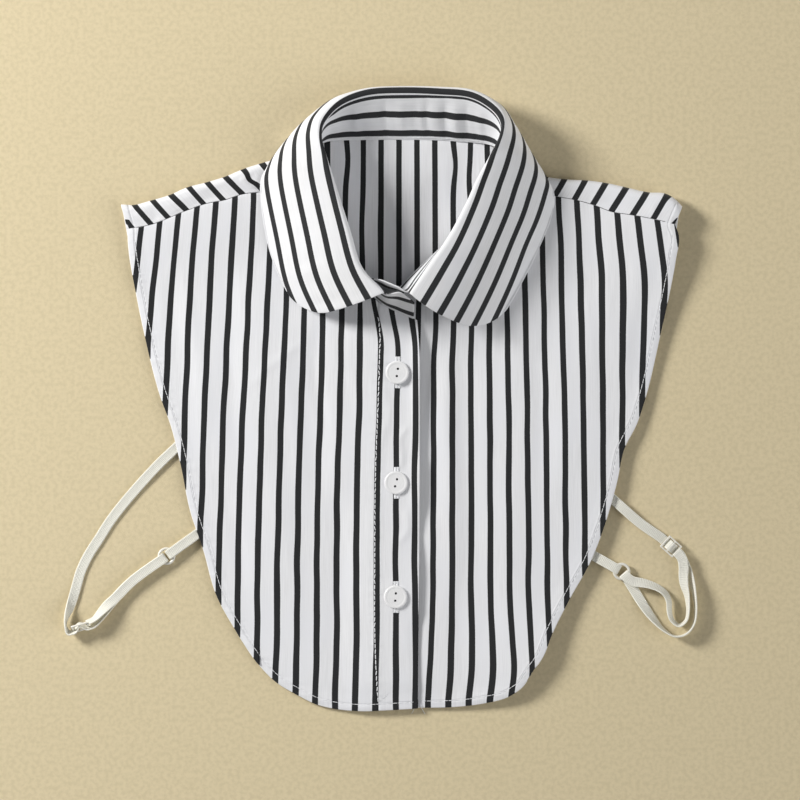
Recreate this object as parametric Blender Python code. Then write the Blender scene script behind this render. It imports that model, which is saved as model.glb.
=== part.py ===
"""A detachable shirt collar lying flat: two fronts, a back, a standing collar and two side straps.

Everything is worked out in millimetres, seen from straight above: +X to the viewer's right,
+Y from the hem towards the neck, +Z up from the table. Meshes are made in metres.
Left and right are as the viewer sees them.
"""
import math
from collections import namedtuple

import bpy
import bmesh
from mathutils import Vector

MM = 0.001

# cloth and the clearances between its layers
WALL = 1.0
HALF_WALL = WALL / 2
SEAM_GAP = 0.35
LAYER = WALL + 0.55
SEAM_SETBACK = HALF_WALL + SEAM_GAP + 0.45

# heights of the cloth's middle above the table
TABLE_LEVEL = HALF_WALL
FRONT_LOW = 2.5
FRONT_LEAST = 1.95
SEAM_LEVEL = 5.4
NECK_LEVEL = 5.0
FOLD_TOP_ARM = 6.0
FOLD_TOP_NECK = 6.8
FOLD_START_LIFT = 0.04
SEAM_RISE_WIDTH = 50.0
NECK_RISE_WIDTH = 42.0

# the neck opening, as the oval that the fronts rise towards
NECK_CENTRE = (4.0, 97.0)
NECK_RADII = (51.5, 50.0)

# the lap of the left front over the right one
BAND_RELIEF = 0.4
LAP_START = -36.0
LAP_FULL = -18.5
UNDER_EDGE_X = -14.5

# the back's neck, raised where the leaf is folded in below it
BACK_LIFT = 1.7
LIFT_START_Y = 106.0
LIFT_FULL_Y = 131.0
BACK_INSET = 1.4

# collar
ROLL_RADIUS = 2.2
LEAF_INNER = 3.0
LEAF_CORNER = 16.0
LEAF_WIDTH = 45.0
LEAF_CLEAR = WALL + 0.6
LEAF_SEAM_GAP = 0.5

# buttons
BUTTON_RADIUS = 6.5
BUTTON_HEIGHT = 2.2
BUTTON_RIM = 1.5
BUTTON_DISH = 0.5
HOLE_RADIUS = 0.9
HOLE_OFFSET = 2.05
BUTTONS = {
    "button_top": (-2.6, 14.8),
    "button_middle": (-3.3, -46.9),
    "button_bottom": (-3.6, -110.8),
}

# elastic, rings and sliders
STRAP_WIDTH = 5.6
STRAP_THICK = 1.0
STRAP_STEP = 5.0
STRAP_REST = 0.05
RING_RADIUS = 4.4
RING_WIRE = 0.55
TURN_RADIUS = 1.4
TURN_REACH = 3.1
RING_LEVEL = 2.0
SLIDER_LENGTH = 9.6
SLIDER_WIDTH = 8.4
SLIDER_BAR = 1.1
SLIDER_RAIL = 0.9
WEAVE = 1.6
WEAVE_REACH = 6.6

# outlines: x, y
SIDE_LEFT = [(-153.2, 94.6), (-152.9, 88.0), (-148.1, 57.1), (-144.3, 38.6), (-134.2, -0.6),
             (-129.6, -13.1), (-123.9, -34.8), (-117.6, -64.6), (-111.3, -82.9), (-103.3, -110.3),
             (-90.7, -133.1)]
HEM_LEFT = [(-90.7, -133.1), (-80.4, -148.0), (-70.2, -158.3), (-58.8, -165.2), (-47.3, -170.8),
            (-37.0, -173.2), (-23.5, -174.4), (-7.0, -173.8), (8.6, -172.9)]
LAP_EDGE = [(8.3, 44.0), (9.8, 30.0), (10.4, 0.0), (10.4, -60.0), (9.6, -120.0), (8.6, -172.9)]
SIDE_RIGHT = [(152.2, 97.2), (155.2, 92.0), (153.2, 77.8), (149.3, 59.1), (144.8, 38.6), (134.9, -2.8),
              (131.4, -13.1), (124.0, -28.0), (120.0, -46.3), (114.2, -66.9), (105.2, -90.7),
              (93.7, -111.4), (83.4, -132.0), (78.9, -143.4), (72.0, -153.7)]
HEM_RIGHT = [(72.0, -153.7), (67.4, -160.6), (59.4, -166.3),
             (45.9, -170.0), (32.5, -171.8), (8.0, -172.4), (-6.0, -172.0), (-14.5, -171.6)]
FOLD_LEFT = [(-157.0, 109.0), (-150.6, 108.8), (-141.0, 111.2), (-130.1, 114.4), (-120.5, 118.6),
             (-109.5, 121.5), (-99.2, 124.6), (-88.9, 128.9), (-73.5, 133.7), (-49.4, 140.0)]
SEAM_LEFT = [(-153.2, 95.1), (-141.0, 97.3), (-121.1, 105.1), (-109.5, 109.2), (-99.2, 111.2),
             (-88.3, 114.7), (-80.0, 115.6), (-64.0, 118.5), (-49.8, 121.0)]
FOLD_RIGHT = [(156.6, 108.0), (152.0, 112.8), (147.3, 115.2), (138.3, 115.8), (127.4, 118.2),
              (115.9, 120.8), (104.9, 122.4), (93.4, 123.0), (80.5, 124.6), (69.0, 127.4), (59.8, 131.0)]
SEAM_RIGHT = [(152.2, 97.7), (140.9, 100.5), (128.7, 102.8), (117.2, 104.7), (106.8, 108.6),
              (96.5, 111.4), (85.7, 113.4), (70.0, 116.0), (54.6, 118.5)]

# largest folds of the fronts: where each starts and ends, its half width and its height
Fold = namedtuple("Fold", "x0 y0 x1 y1 half_width height")
FOLDS = [
    Fold(-38, 52, -34, -70, 8, 1.0),
    Fold(-86, 84, -72, -120, 15, 1.1),
    Fold(-118, 78, -106, -20, 12, 0.8),
    Fold(24, 34, 30, -130, 7, 0.9),
    Fold(66, 60, 60, -120, 14, 1.0),
    Fold(112, 80, 100, -60, 14, 0.9),
]

# collar sections from the left leaf tip, round the back, to the right leaf tip
Section = namedtuple("Section", "neck crest belly edge")
SECTIONS = [
    Section((-9.5, 52.4, 7.0), (-9.9, 59.2, 28.0), (-36.0, 48.3, 25.5), (-55.5, 46.0, 4.6)),
    Section((-26.5, 67.5, 6.0), (-23.0, 73.4, 28.3), (-48.0, 72.0, 25.0), (-66.2, 64.1, 4.6)),
    Section((-38.5, 88.0, 5.2), (-29.6, 94.2, 28.0), (-56.0, 93.5, 24.0), (-74.6, 86.0, 4.8)),
    Section((-46.4, 116.0, 6.0), (-38.4, 121.8, 27.0), (-62.0, 123.5, 22.0), (-79.0, 117.0, 7.4)),
    Section((-47.8, 129.5, 7.2), (-42.6, 135.2, 26.3), (-63.0, 141.0, 21.0), (-75.2, 129.5, 8.6)),
    Section((-47.2, 140.0, 5.6), (-45.7, 147.0, 25.0), (-60.0, 153.0, 15.0), (-66.8, 141.6, 2.6)),
    Section((-42.6, 144.0, 3.8), (-44.0, 156.6, 22.5), (-54.0, 161.5, 9.0), (-56.5, 147.0, 0.5)),
    Section((-34.0, 145.0, 3.0), (-34.4, 166.4, 19.5), (-41.0, 171.5, 3.0), (-40.0, 143.5, 0.5)),
    Section((-18.0, 145.3, 2.5), (-19.0, 172.2, 16.6), (-21.0, 170.5, 0.6), (-21.0, 139.5, 0.5)),
    Section((2.0, 145.4, 2.4), (1.0, 173.5, 15.0), (2.0, 169.0, 0.5), (2.0, 138.2, 0.5)),
    Section((22.0, 144.9, 2.5), (21.0, 173.0, 15.8), (23.0, 170.0, 0.6), (25.0, 139.3, 0.5)),
    Section((38.5, 143.8, 3.0), (38.0, 171.2, 18.4), (43.0, 171.0, 2.5), (44.0, 143.3, 0.5)),
    Section((48.5, 142.6, 4.0), (50.0, 164.6, 21.5), (58.0, 165.5, 8.0), (59.5, 146.5, 0.5)),
    Section((54.2, 139.4, 5.8), (56.0, 156.4, 24.2), (63.0, 157.0, 13.0), (65.5, 145.2, 0.8)),
    Section((56.6, 132.5, 7.0), (55.2, 147.2, 26.0), (67.5, 148.5, 17.5), (71.6, 138.2, 2.8)),
    Section((54.4, 124.0, 6.8), (49.0, 134.6, 27.0), (69.0, 136.0, 22.0), (81.0, 123.0, 8.4)),
    Section((47.0, 110.5, 5.6), (42.2, 122.0, 27.6), (66.0, 121.0, 23.0), (85.0, 112.5, 7.4)),
    Section((39.0, 98.0, 5.3), (36.0, 108.0, 28.0), (61.0, 104.0, 24.0), (82.6, 100.0, 6.0)),
    Section((24.5, 86.5, 5.0), (26.2, 89.4, 28.3), (53.0, 84.0, 25.0), (76.6, 85.0, 4.8)),
    Section((10.6, 74.0, 4.9), (16.2, 74.8, 28.3), (41.0, 64.0, 25.5), (66.5, 64.5, 4.6)),
    Section((-0.8, 62.6, 5.6), (4.8, 58.7, 28.0), (25.2, 41.3, 25.5), (51.4, 38.0, 4.6)),
]

# the stand beyond the leaf: neck and upper edge, outwards from the leaf's tip
Rim = namedtuple("Rim", "neck rim")
LAP_TAB = [
    Rim((-2.6, 48.9, 7.2), (-1.6, 59.2, 25.0)),
    Rim((2.6, 46.6, 7.2), (3.0, 56.8, 22.4)),
    Rim((6.2, 45.2, 7.6), (6.6, 53.6, 19.5)),
]
UNDER_TAB = [
    Rim((-5.0, 58.2, 6.0), (-2.0, 62.2, 26.0)),
    Rim((-10.0, 58.0, 6.0), (-7.2, 64.4, 25.4)),
    Rim((-13.8, 60.6, 5.8), (-12.0, 66.6, 24.6)),
]

# straps: x, y, z of the elastic's middle and its tilt in degrees, 0 lying flat
LEFT_TO_SLIDER = [(-127.5, -28.3, 2.9, 0), (-137.4, -37.8, 2.2, 0), (-146.8, -48.0, 1.4, 0),
                  (-156.2, -59.0, 0.7, 0), (-163.4, -68.4, 0.6, 0), (-169.6, -78.2, 0.6, 0),
                  (-175.9, -88.1, 0.6, 0), (-179.8, -96.4, 0.6, 0), (-182.6, -106.2, 0.8, -5),
                  (-185.4, -115.6, 1.8, -30), (-187.8, -122.6, 3.6, -70), (-188.2, -127.2, 4.2, -86)]
LEFT_SLIDER = (-180.0, -127.8, 4.3)
LEFT_SLIDER_WAY = (0.96, 0.28)
LEFT_SLIDER_TILT = -90
LEFT_TO_RING = [(-169.2, -123.4, 3.4, -56), (-165.2, -117.4, 1.9, -26), (-160.2, -111.2, 0.65, 0),
                (-151.5, -102.4, 0.6, 0), (-142.6, -95.6, 0.6, 0)]
LEFT_RING = (-131.8, -88.0)
LEFT_RING_WAY = (-0.8, -0.6)
LEFT_TAB_WAY = (0.81, 0.586)
LEFT_TAB_LENGTH = 20.5

RIGHT_TO_SLIDER = [(119.0, -57.0, 2.9, 0), (124.6, -62.0, 2.7, 0), (132.7, -69.0, 2.0, 0)]
RIGHT_SLIDER = (150.6, -82.6, 2.3)
RIGHT_SLIDER_WAY = (0.74, -0.673)
RIGHT_SLIDER_TILT = 0
RIGHT_OUTER = [(158.2, -92.4, 1.3, 14), (161.6, -101.0, 2.4, 48), (163.6, -109.5, 3.2, 72),
               (164.4, -117.6, 3.3, 82), (163.4, -125.6, 3.3, 86), (159.0, -131.6, 3.3, 88),
               (152.6, -132.8, 3.3, 86), (146.4, -129.2, 3.2, 76), (140.6, -123.0, 2.4, 48),
               (134.6, -114.6, 1.2, 18), (130.2, -107.4, 0.65, 0)]
RIGHT_INNER = [(131.4, -105.0, 3.4, 0), (135.9, -104.2, 3.4, 30), (141.4, -105.2, 3.4, 62),
               (146.6, -108.0, 3.4, 80), (149.2, -112.8, 3.4, 84), (149.8, -119.6, 3.4, 86),
               (151.9, -124.8, 3.4, 88), (155.8, -126.8, 3.4, 88), (159.2, -123.4, 3.4, 86),
               (160.0, -116.8, 3.4, 78), (159.2, -109.0, 3.5, 60), (157.4, -101.6, 3.9, 28),
               (157.6, -94.6, 4.1, 6)]
RIGHT_RING = (122.9, -96.6)
RIGHT_RING_WAY = (0.66, -0.75)
RIGHT_TAB_WAY = (-0.87, 0.493)
RIGHT_TAB_LENGTH = 17.9

# how finely each piece is divided
SHOULDER_COLUMNS = 11
NECK_COLUMNS = 9
PANEL_ROWS = 20
BACK_ROWS = 15
FOLD_STEPS = 5
STRIP_ROWS = 3
BACK_NECK_COLUMNS = 12
LEAF_COLUMNS = 46
TAB_COLUMNS = 3
STAND_ROWS = 3
ROLL_STEPS = 4


def mix(a, b, t):
    return tuple(p + (q - p) * t for p, q in zip(a, b))


def ease(value, start, end):
    """0 before start, 1 after end, and a smooth rise between them."""
    t = min(1.0, max(0.0, (value - start) / (end - start)))
    return t * t * (3 - 2 * t)


def lengths(rows):
    total = [0.0]
    for a, b in zip(rows, rows[1:]):
        total.append(total[-1] + math.dist(a[:3], b[:3]))
    return total


def curve_at(rows, knots, place):
    """The point at a place on the smooth curve that passes through the rows at their knots."""
    last = len(rows) - 1
    i = 0
    while i < last - 1 and place > knots[i + 1]:
        i += 1
    span = knots[i + 1] - knots[i]
    t = (place - knots[i]) / span

    def slope(k):
        if k == 0:
            return [(b - a) / (knots[1] - knots[0]) for a, b in zip(rows[0], rows[1])]
        if k == last:
            return [(b - a) / (knots[k] - knots[k - 1]) for a, b in zip(rows[k - 1], rows[k])]
        before = knots[k] - knots[k - 1]
        after = knots[k + 1] - knots[k]
        return [((c - b) / after * before + (b - a) / before * after) / (before + after)
                for a, b, c in zip(rows[k - 1], rows[k], rows[k + 1])]

    h00 = 2 * t ** 3 - 3 * t ** 2 + 1
    h10 = t ** 3 - 2 * t ** 2 + t
    h01 = 3 * t ** 2 - 2 * t ** 3
    h11 = t ** 3 - t ** 2
    return tuple(h00 * p + h10 * span * m + h01 * q + h11 * span * n
                 for p, m, q, n in zip(rows[i], slope(i), rows[i + 1], slope(i + 1)))


def spaced(rows, count):
    """count + 1 points evenly spaced along the smooth curve through the rows."""
    knots = lengths(rows)
    return [curve_at(rows, knots, knots[-1] * k / count) for k in range(count + 1)]


def height_on(rows, x):
    """The y of a left-to-right outline at x."""
    ordered = sorted(rows)
    x = min(ordered[-1][0], max(ordered[0][0], x))
    for (x0, y0), (x1, y1) in zip(ordered, ordered[1:]):
        if x <= x1:
            return y0 + (y1 - y0) * (x - x0) / max(x1 - x0, 0.001)
    return ordered[-1][1]


def moved_aside(rows, distance):
    """An outline moved to the left of its own direction."""
    moved = []
    for k, point in enumerate(rows):
        before = rows[max(k - 1, 0)]
        after = rows[min(k + 1, len(rows) - 1)]
        way = Vector((after[0] - before[0], after[1] - before[1])).normalized()
        moved.append((point[0] - way.y * distance, point[1] + way.x * distance))
    return moved


def fill_between(top, bottom, left, right):
    """Rows of points that fill the space between four edges, bottom row first."""
    across = len(top) - 1
    up = len(left) - 1
    rows = []
    for j in range(up + 1):
        v = j / up
        row = []
        for i in range(across + 1):
            u = i / across
            ends = mix(left[j], right[j], u)
            sides = mix(bottom[i], top[i], v)
            corners = mix(mix(bottom[0], bottom[-1], u), mix(top[0], top[-1], u), v)
            row.append(tuple(a + b - c for a, b, c in zip(ends, sides, corners)))
        rows.append(row)
    return rows


def fold_height(x, y):
    total = 0.0
    for fold in FOLDS:
        along = (fold.y0 - y) / (fold.y0 - fold.y1)
        middle = fold.x0 + (fold.x1 - fold.x0) * along
        fade = ease(along, -0.05, 0.2) * (1 - ease(along, 0.7, 1.05))
        total += fold.height * fade * math.exp(-((x - middle) / fold.half_width) ** 2)
    return total


def front_level(x, y):
    """Middle of a front that lies straight on the back."""
    seam_y = height_on(SEAM_LEFT + SEAM_RIGHT, x)
    by_seam = 1 - ease(seam_y - y, 0, SEAM_RISE_WIDTH)
    reach = math.hypot((x - NECK_CENTRE[0]) / NECK_RADII[0], (y - NECK_CENTRE[1]) / NECK_RADII[1])
    by_neck = 1 - ease((reach - 1) * NECK_RADII[1], 0, NECK_RISE_WIDTH)
    rise = max((SEAM_LEVEL - FRONT_LOW) * by_seam, (NECK_LEVEL - FRONT_LOW) * by_neck)
    return max(FRONT_LEAST, FRONT_LOW + rise + fold_height(x, y) * (1 - max(by_seam, by_neck)))


def band_left(y):
    """The stitched left edge of the button band."""
    return -12.4 + (y - 22.0) * 0.0195


def lap_level(x, y):
    """Middle of the left front, which climbs over the right one at the button band."""
    lap = LAYER * ease(x, LAP_START, LAP_FULL)
    band = BAND_RELIEF * ease(x, band_left(y) - 1.5, band_left(y) + 1.5)
    return front_level(x, y) + lap + band


def back_level(x, y):
    across = 1 - ease(abs(x - 3.0), 46, 62)
    return TABLE_LEVEL + BACK_LIFT * ease(y, LIFT_START_Y, LIFT_FULL_Y) * across


def support_level(x, y):
    """The top of what lies below the leaf: a front, or the back's strip behind the seam."""
    for seam, fold in ((SEAM_LEFT, FOLD_LEFT), (SEAM_RIGHT, FOLD_RIGHT)):
        xs = [p[0] for p in fold]
        if not min(xs) <= x <= max(xs):
            continue
        seam_y = height_on(seam, x)
        fold_y = height_on(fold, x)
        near_neck = 1 - ease(abs(x - 3.0), 50, 150)
        top = FOLD_TOP_ARM + (FOLD_TOP_NECK - FOLD_TOP_ARM) * near_neck + HALF_WALL
        past = (y - fold_y) / (top / 2) + 1
        if past > 1:
            return 0.0
        if past > 0:
            return top / 2 + top / 2 * math.sqrt(1 - past ** 2)
        if y > seam_y:
            return top
    if y < height_on(SEAM_LEFT + SEAM_RIGHT, x) + 1:
        return lap_level(x, y) + HALF_WALL if x < UNDER_EDGE_X + 25 else front_level(x, y) + HALF_WALL
    return 0.0


def material(name, colour, roughness, metallic=0.0):
    made = bpy.data.materials.new(name)
    made.use_nodes = True
    shader = made.node_tree.nodes["Principled BSDF"]
    shader.inputs["Base Color"].default_value = (*colour, 1.0)
    shader.inputs["Roughness"].default_value = roughness
    shader.inputs["Metallic"].default_value = metallic
    return made


def add_mesh(name, points, faces, finish):
    mesh = bpy.data.meshes.new(name)
    mesh.from_pydata([(x * MM, y * MM, z * MM) for x, y, z in points], [], faces)
    mesh.materials.append(finish)
    mesh.shade_smooth()
    made = bpy.data.objects.new(name, mesh)
    bpy.context.collection.objects.link(made)
    return made


def thicken(made, thickness):
    wall = made.modifiers.new("wall", "SOLIDIFY")
    wall.thickness = thickness * MM
    wall.offset = 0
    wall.use_even_offset = True
    return made


def grid_faces(rows, columns, start=0):
    """Faces of a grid whose rows of points follow each other, seen from above."""
    faces = []
    for j in range(rows - 1):
        for i in range(columns - 1):
            a = start + j * columns + i
            faces.append((a, a + 1, a + 1 + columns, a + columns))
    return faces


def add_cloth(name, rows, finish, thickness=WALL):
    points = [point for row in rows for point in row]
    return thicken(add_mesh(name, points, grid_faces(len(rows), len(rows[0])), finish), thickness)


def neck_line(first, last):
    return [section.neck[:2] for section in SECTIONS[first:last + 1]]


def make_front_left(finish):
    tab = [rim.neck[:2] for rim in reversed(LAP_TAB)]
    neckline = moved_aside(tab + neck_line(0, 3), SEAM_SETBACK)
    neckline.reverse()
    neckline[0] = (SEAM_LEFT[-1][0] - 0.3, SEAM_LEFT[-1][1] - SEAM_GAP)
    neckline[-1] = LAP_EDGE[0]
    seam = moved_aside(SEAM_LEFT, -SEAM_GAP)
    top = spaced(seam, SHOULDER_COLUMNS)[:-1] + spaced(neckline, NECK_COLUMNS)
    bottom = spaced(HEM_LEFT, SHOULDER_COLUMNS + NECK_COLUMNS)
    side = spaced([seam[0]] + SIDE_LEFT[1:], PANEL_ROWS)
    lap = spaced(LAP_EDGE, PANEL_ROWS)
    plan = fill_between(top, bottom, side[::-1], lap[::-1])
    rows = [[(x, y, lap_level(x, y)) for x, y in row] for row in plan]
    return add_cloth("front_left", rows, finish)


def make_front_right(finish):
    tab = [rim.neck[:2] for rim in UNDER_TAB]
    neckline = moved_aside(neck_line(16, 20) + tab, SEAM_SETBACK)
    neckline.insert(0, (SEAM_RIGHT[-1][0] + 0.3, SEAM_RIGHT[-1][1] - SEAM_GAP))
    under_edge = [neckline[-1], (-13.6, 50.0), (UNDER_EDGE_X, 20.0), (UNDER_EDGE_X, -80.0), HEM_RIGHT[-1]]
    seam = moved_aside(SEAM_RIGHT, SEAM_GAP)
    top = spaced(neckline[::-1], NECK_COLUMNS)[:-1] + spaced(seam[::-1], SHOULDER_COLUMNS)
    bottom = spaced(HEM_RIGHT[::-1], SHOULDER_COLUMNS + NECK_COLUMNS)
    side = spaced([seam[0]] + SIDE_RIGHT[1:], PANEL_ROWS)
    edge = spaced(under_edge, PANEL_ROWS)
    plan = fill_between(top, bottom, edge[::-1], side[::-1])
    rows = [[(x, y, front_level(x, y)) for x, y in row] for row in plan]
    return add_cloth("front_right", rows, finish)


def shoulder_fold(fold, seam):
    """Columns of the shoulder from its arm end to the neck: up round the fold and on to the seam."""
    columns = []
    count = SHOULDER_COLUMNS
    for k, (outer, front) in enumerate(zip(spaced(fold, count), spaced(seam, count))):
        way = Vector((front[0] - outer[0], front[1] - outer[1])).normalized()
        top = FOLD_TOP_ARM + (FOLD_TOP_NECK - FOLD_TOP_ARM) * k / count
        flat = Vector(outer) + way * (HALF_WALL + (top - TABLE_LEVEL) / 2)
        low = back_level(flat.x, flat.y) + FOLD_START_LIFT
        radius = (top - low) / 2
        column = []
        for step in range(FOLD_STEPS + 1):
            angle = math.pi * step / FOLD_STEPS
            place = flat - way * radius * math.sin(angle)
            column.append((place.x, place.y, low + radius * (1 - math.cos(angle))))
        end = Vector(front) - way * SEAM_GAP
        for step in range(1, STRIP_ROWS + 1):
            t = step / STRIP_ROWS
            column.append((*mix(flat, end, t), top + (SEAM_LEVEL - top) * ease(t, 0, 1)))
        columns.append(column)
    return columns


def make_back(finish):
    left = shoulder_fold(FOLD_LEFT, SEAM_LEFT)
    right = shoulder_fold(FOLD_RIGHT, SEAM_RIGHT)[::-1]
    neckline = spaced(moved_aside(neck_line(6, 12), -SEAM_SETBACK), BACK_NECK_COLUMNS)
    top = [column[0][:2] for column in left] + neckline + [column[0][:2] for column in right]
    side_left = moved_aside(SIDE_LEFT[2:], BACK_INSET)
    side_right = moved_aside(SIDE_RIGHT[3:], -BACK_INSET)
    hem = moved_aside(HEM_LEFT[:-1], BACK_INSET) + moved_aside(HEM_RIGHT[::-1], BACK_INSET)[3:]
    bottom = spaced([side_left[-1]] + hem[1:-1] + [side_right[-1]], len(top) - 1)
    side_left = spaced([top[0]] + side_left, BACK_ROWS)
    side_right = spaced([top[-1]] + side_right, BACK_ROWS)
    plan = fill_between(top, bottom, side_left[::-1], side_right[::-1])
    points = [(x, y, back_level(x, y)) for row in plan for x, y in row]
    across = len(top)
    faces = grid_faces(len(plan), across)
    last_row = (len(plan) - 1) * across
    for columns, first in ((left, last_row), (right, last_row + across - len(right))):
        before = [first + k for k in range(len(columns))]
        for step in range(1, len(columns[0])):
            here = [len(points) + k for k in range(len(columns))]
            points += [column[step] for column in columns]
            for a, b, c, d in zip(before, before[1:], here[1:], here):
                faces.append((a, b, c, d))
            before = here
    return thicken(add_mesh("back", points, faces, finish), WALL)


def section_at(place):
    """The collar's section at a place from 0, the left tip, to 1, the right tip."""
    knots = [k / (len(SECTIONS) - 1) for k in range(len(SECTIONS))]
    flat = [section.neck + section.crest + section.belly + section.edge for section in SECTIONS]
    row = curve_at(flat, knots, place)
    return [Vector(row[k:k + 3]) for k in (0, 3, 6, 9)]


def collar_profile(place):
    """The neck seam, the roll over the crest and the leaf's pull and edge, at one section."""
    neck, crest, belly, edge = section_at(place)
    up = ((crest - neck).normalized() + (crest - belly).normalized()).normalized()
    centre = crest - up * ROLL_RADIUS
    out = belly - neck
    out = (out - up * out.dot(up)).normalized()

    def tangent(point, turn):
        across = (point - centre).dot(out)
        above = (point - centre).dot(up)
        reach = max(math.hypot(across, above), ROLL_RADIUS * 1.001)
        return math.atan2(above, across) + turn * math.acos(ROLL_RADIUS / reach)

    start = tangent(neck, -1) + 2 * math.pi
    end = tangent(belly, 1)
    roll = []
    for step in range(ROLL_STEPS + 1):
        angle = start + (end - start) * step / ROLL_STEPS
        roll.append(centre + (out * math.cos(angle) + up * math.sin(angle)) * ROLL_RADIUS)
    return neck, roll, belly, edge


def leaf_rows():
    """Rows across the leaf: how far from the crest, 0 to 1, and how much the corner takes off."""
    straight = 1 - LEAF_CORNER / LEAF_WIDTH
    rows = [(straight * k / 4, 0.0) for k in range(1, 5)]
    for degrees in (65, 42, 20, 0):
        angle = math.radians(degrees)
        rows.append((1 - LEAF_CORNER * (1 - math.cos(angle)) / LEAF_WIDTH, 1 - math.sin(angle)))
    return rows


def make_collar_leaf(finish):
    first, last = section_at(0)[3], section_at(1)[3]
    left_speed = (section_at(0.01)[3] - first).length / 0.01
    right_speed = (section_at(0.99)[3] - last).length / 0.01
    plain = [(step, 0.0) for step in range(-1, ROLL_STEPS + 1)]
    rows = []
    for kind, table in (("roll", plain), ("leaf", leaf_rows())):
        for across, cut in table:
            start = cut * LEAF_CORNER / left_speed
            end = 1 - cut * LEAF_CORNER / right_speed
            row = []
            for k in range(LEAF_COLUMNS + 1):
                place = start + (end - start) * k / LEAF_COLUMNS
                neck, roll, belly, edge = collar_profile(place)
                if kind == "roll" and across < 0:
                    point = roll[0] + (neck - roll[0]).normalized() * LEAF_INNER
                elif kind == "roll":
                    point = roll[across]
                else:
                    w = across
                    point = roll[-1] * (1 - w) ** 2 + belly * 2 * w * (1 - w) + edge * w ** 2
                    support = support_level(point.x, point.y)
                    clear = support + LEAF_CLEAR - HALF_WALL if support > 0 else TABLE_LEVEL
                    point.z = max(point.z, clear)
                row.append(tuple(point))
            rows.append(row)
    return add_cloth("collar_leaf", rows, finish)


def make_collar_stand(finish):
    columns = [(Vector(tab.neck), Vector(tab.rim)) for tab in reversed(LAP_TAB)]
    for k in range(LEAF_COLUMNS + 1):
        neck, roll, _, _ = collar_profile(k / LEAF_COLUMNS)
        columns.append((neck, roll[0] + (neck - roll[0]).normalized() * (LEAF_INNER + LEAF_SEAM_GAP)))
    columns += [(Vector(tab.neck), Vector(tab.rim)) for tab in UNDER_TAB]
    rows = []
    for j in range(STAND_ROWS + 1):
        t = j / STAND_ROWS
        rows.append([tuple(neck.lerp(rim, t)) for neck, rim in columns])
    return add_cloth("collar_stand", rows, finish)


def make_button(name, centre, finish):
    """A dished disc with a rounded rim and two holes, resting on the highest cloth below it."""
    below = 0.0
    for step in range(24):
        angle = math.tau * step / 24
        for radius in (0.0, BUTTON_RADIUS / 2, BUTTON_RADIUS):
            x = centre[0] + radius * math.cos(angle)
            y = centre[1] + radius * math.sin(angle)
            below = max(below, lap_level(x, y))
    base = below + HALF_WALL + SEAM_GAP
    profile = [(0.0, 0.0), (BUTTON_RADIUS - 0.7, 0.0), (BUTTON_RADIUS, 0.7),
               (BUTTON_RADIUS, BUTTON_HEIGHT - 0.7), (BUTTON_RADIUS - 0.5, BUTTON_HEIGHT),
               (BUTTON_RADIUS - BUTTON_RIM + 0.4, BUTTON_HEIGHT),
               (BUTTON_RADIUS - BUTTON_RIM - 0.3, BUTTON_HEIGHT - BUTTON_DISH),
               (0.0, BUTTON_HEIGHT - BUTTON_DISH)]
    shape = bmesh.new()
    corners = [shape.verts.new((radius * MM, 0, height * MM)) for radius, height in profile]
    edges = [shape.edges.new(pair) for pair in zip(corners, corners[1:])]
    bmesh.ops.spin(shape, geom=corners + edges, axis=(0, 0, 1), cent=(0, 0, 0),
                   angle=math.tau, steps=28, use_duplicate=False)
    bmesh.ops.remove_doubles(shape, verts=shape.verts, dist=0.00001)
    bmesh.ops.recalc_face_normals(shape, faces=shape.faces)
    mesh = bpy.data.meshes.new(name)
    shape.to_mesh(mesh)
    shape.free()
    mesh.materials.append(finish)
    made = bpy.data.objects.new(name, mesh)
    made.location = (centre[0] * MM, centre[1] * MM, base * MM)
    bpy.context.collection.objects.link(made)
    for side in (-1, 1):
        cutter_shape = bmesh.new()
        bmesh.ops.create_cone(cutter_shape, cap_ends=True, segments=12, radius1=HOLE_RADIUS * MM,
                              radius2=HOLE_RADIUS * MM, depth=4 * BUTTON_HEIGHT * MM)
        cutter_mesh = bpy.data.meshes.new(name + "_hole")
        cutter_shape.to_mesh(cutter_mesh)
        cutter_shape.free()
        cutter = bpy.data.objects.new(name + "_hole", cutter_mesh)
        cutter.location = made.location + Vector((0, side * HOLE_OFFSET * MM, 0))
        cutter.hide_render = True
        cutter.display_type = "WIRE"
        bpy.context.collection.objects.link(cutter)
        cut = made.modifiers.new("hole", "BOOLEAN")
        cut.operation = "DIFFERENCE"
        cut.solver = "EXACT"
        cut.object = cutter
    return made


def direction_at(places, k):
    """The mean direction of the steps before and after one of the places."""
    steps = [(b - a).normalized() for a, b in zip(places[max(k - 1, 0):], places[max(k - 1, 0) + 1:k + 2])]
    return sum(steps, Vector()).normalized()


def add_ribbon(name, route, finish):
    """A flat band along a route of x, y, z and tilt, level across where the tilt is 0."""
    places = [Vector(row[:3]) for row in route]
    level = None
    points = []
    for k, place in enumerate(places):
        way = direction_at(places, k)
        plan = Vector((way.x, way.y, 0))
        if level is None or plan.length > 0.35:
            across = Vector((0, 0, 1)).cross(plan).normalized()
            if level is not None and across.dot(level) < 0:
                across = -across
            level = across
        tilt = math.radians(route[k][3])
        side = level * math.cos(tilt) + Vector((0, 0, 1)) * math.sin(tilt)
        side = (side - way * side.dot(way)).normalized()
        rest = STRAP_WIDTH / 2 * abs(side.z) + STRAP_THICK / 2 * math.sqrt(1 - side.z ** 2) + STRAP_REST
        place.z = max(place.z, rest)
        points.append(tuple(place - side * STRAP_WIDTH / 2))
        points.append(tuple(place + side * STRAP_WIDTH / 2))
    faces = grid_faces(len(places), 2)
    return thicken(add_mesh(name, points, faces, finish), STRAP_THICK)


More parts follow.
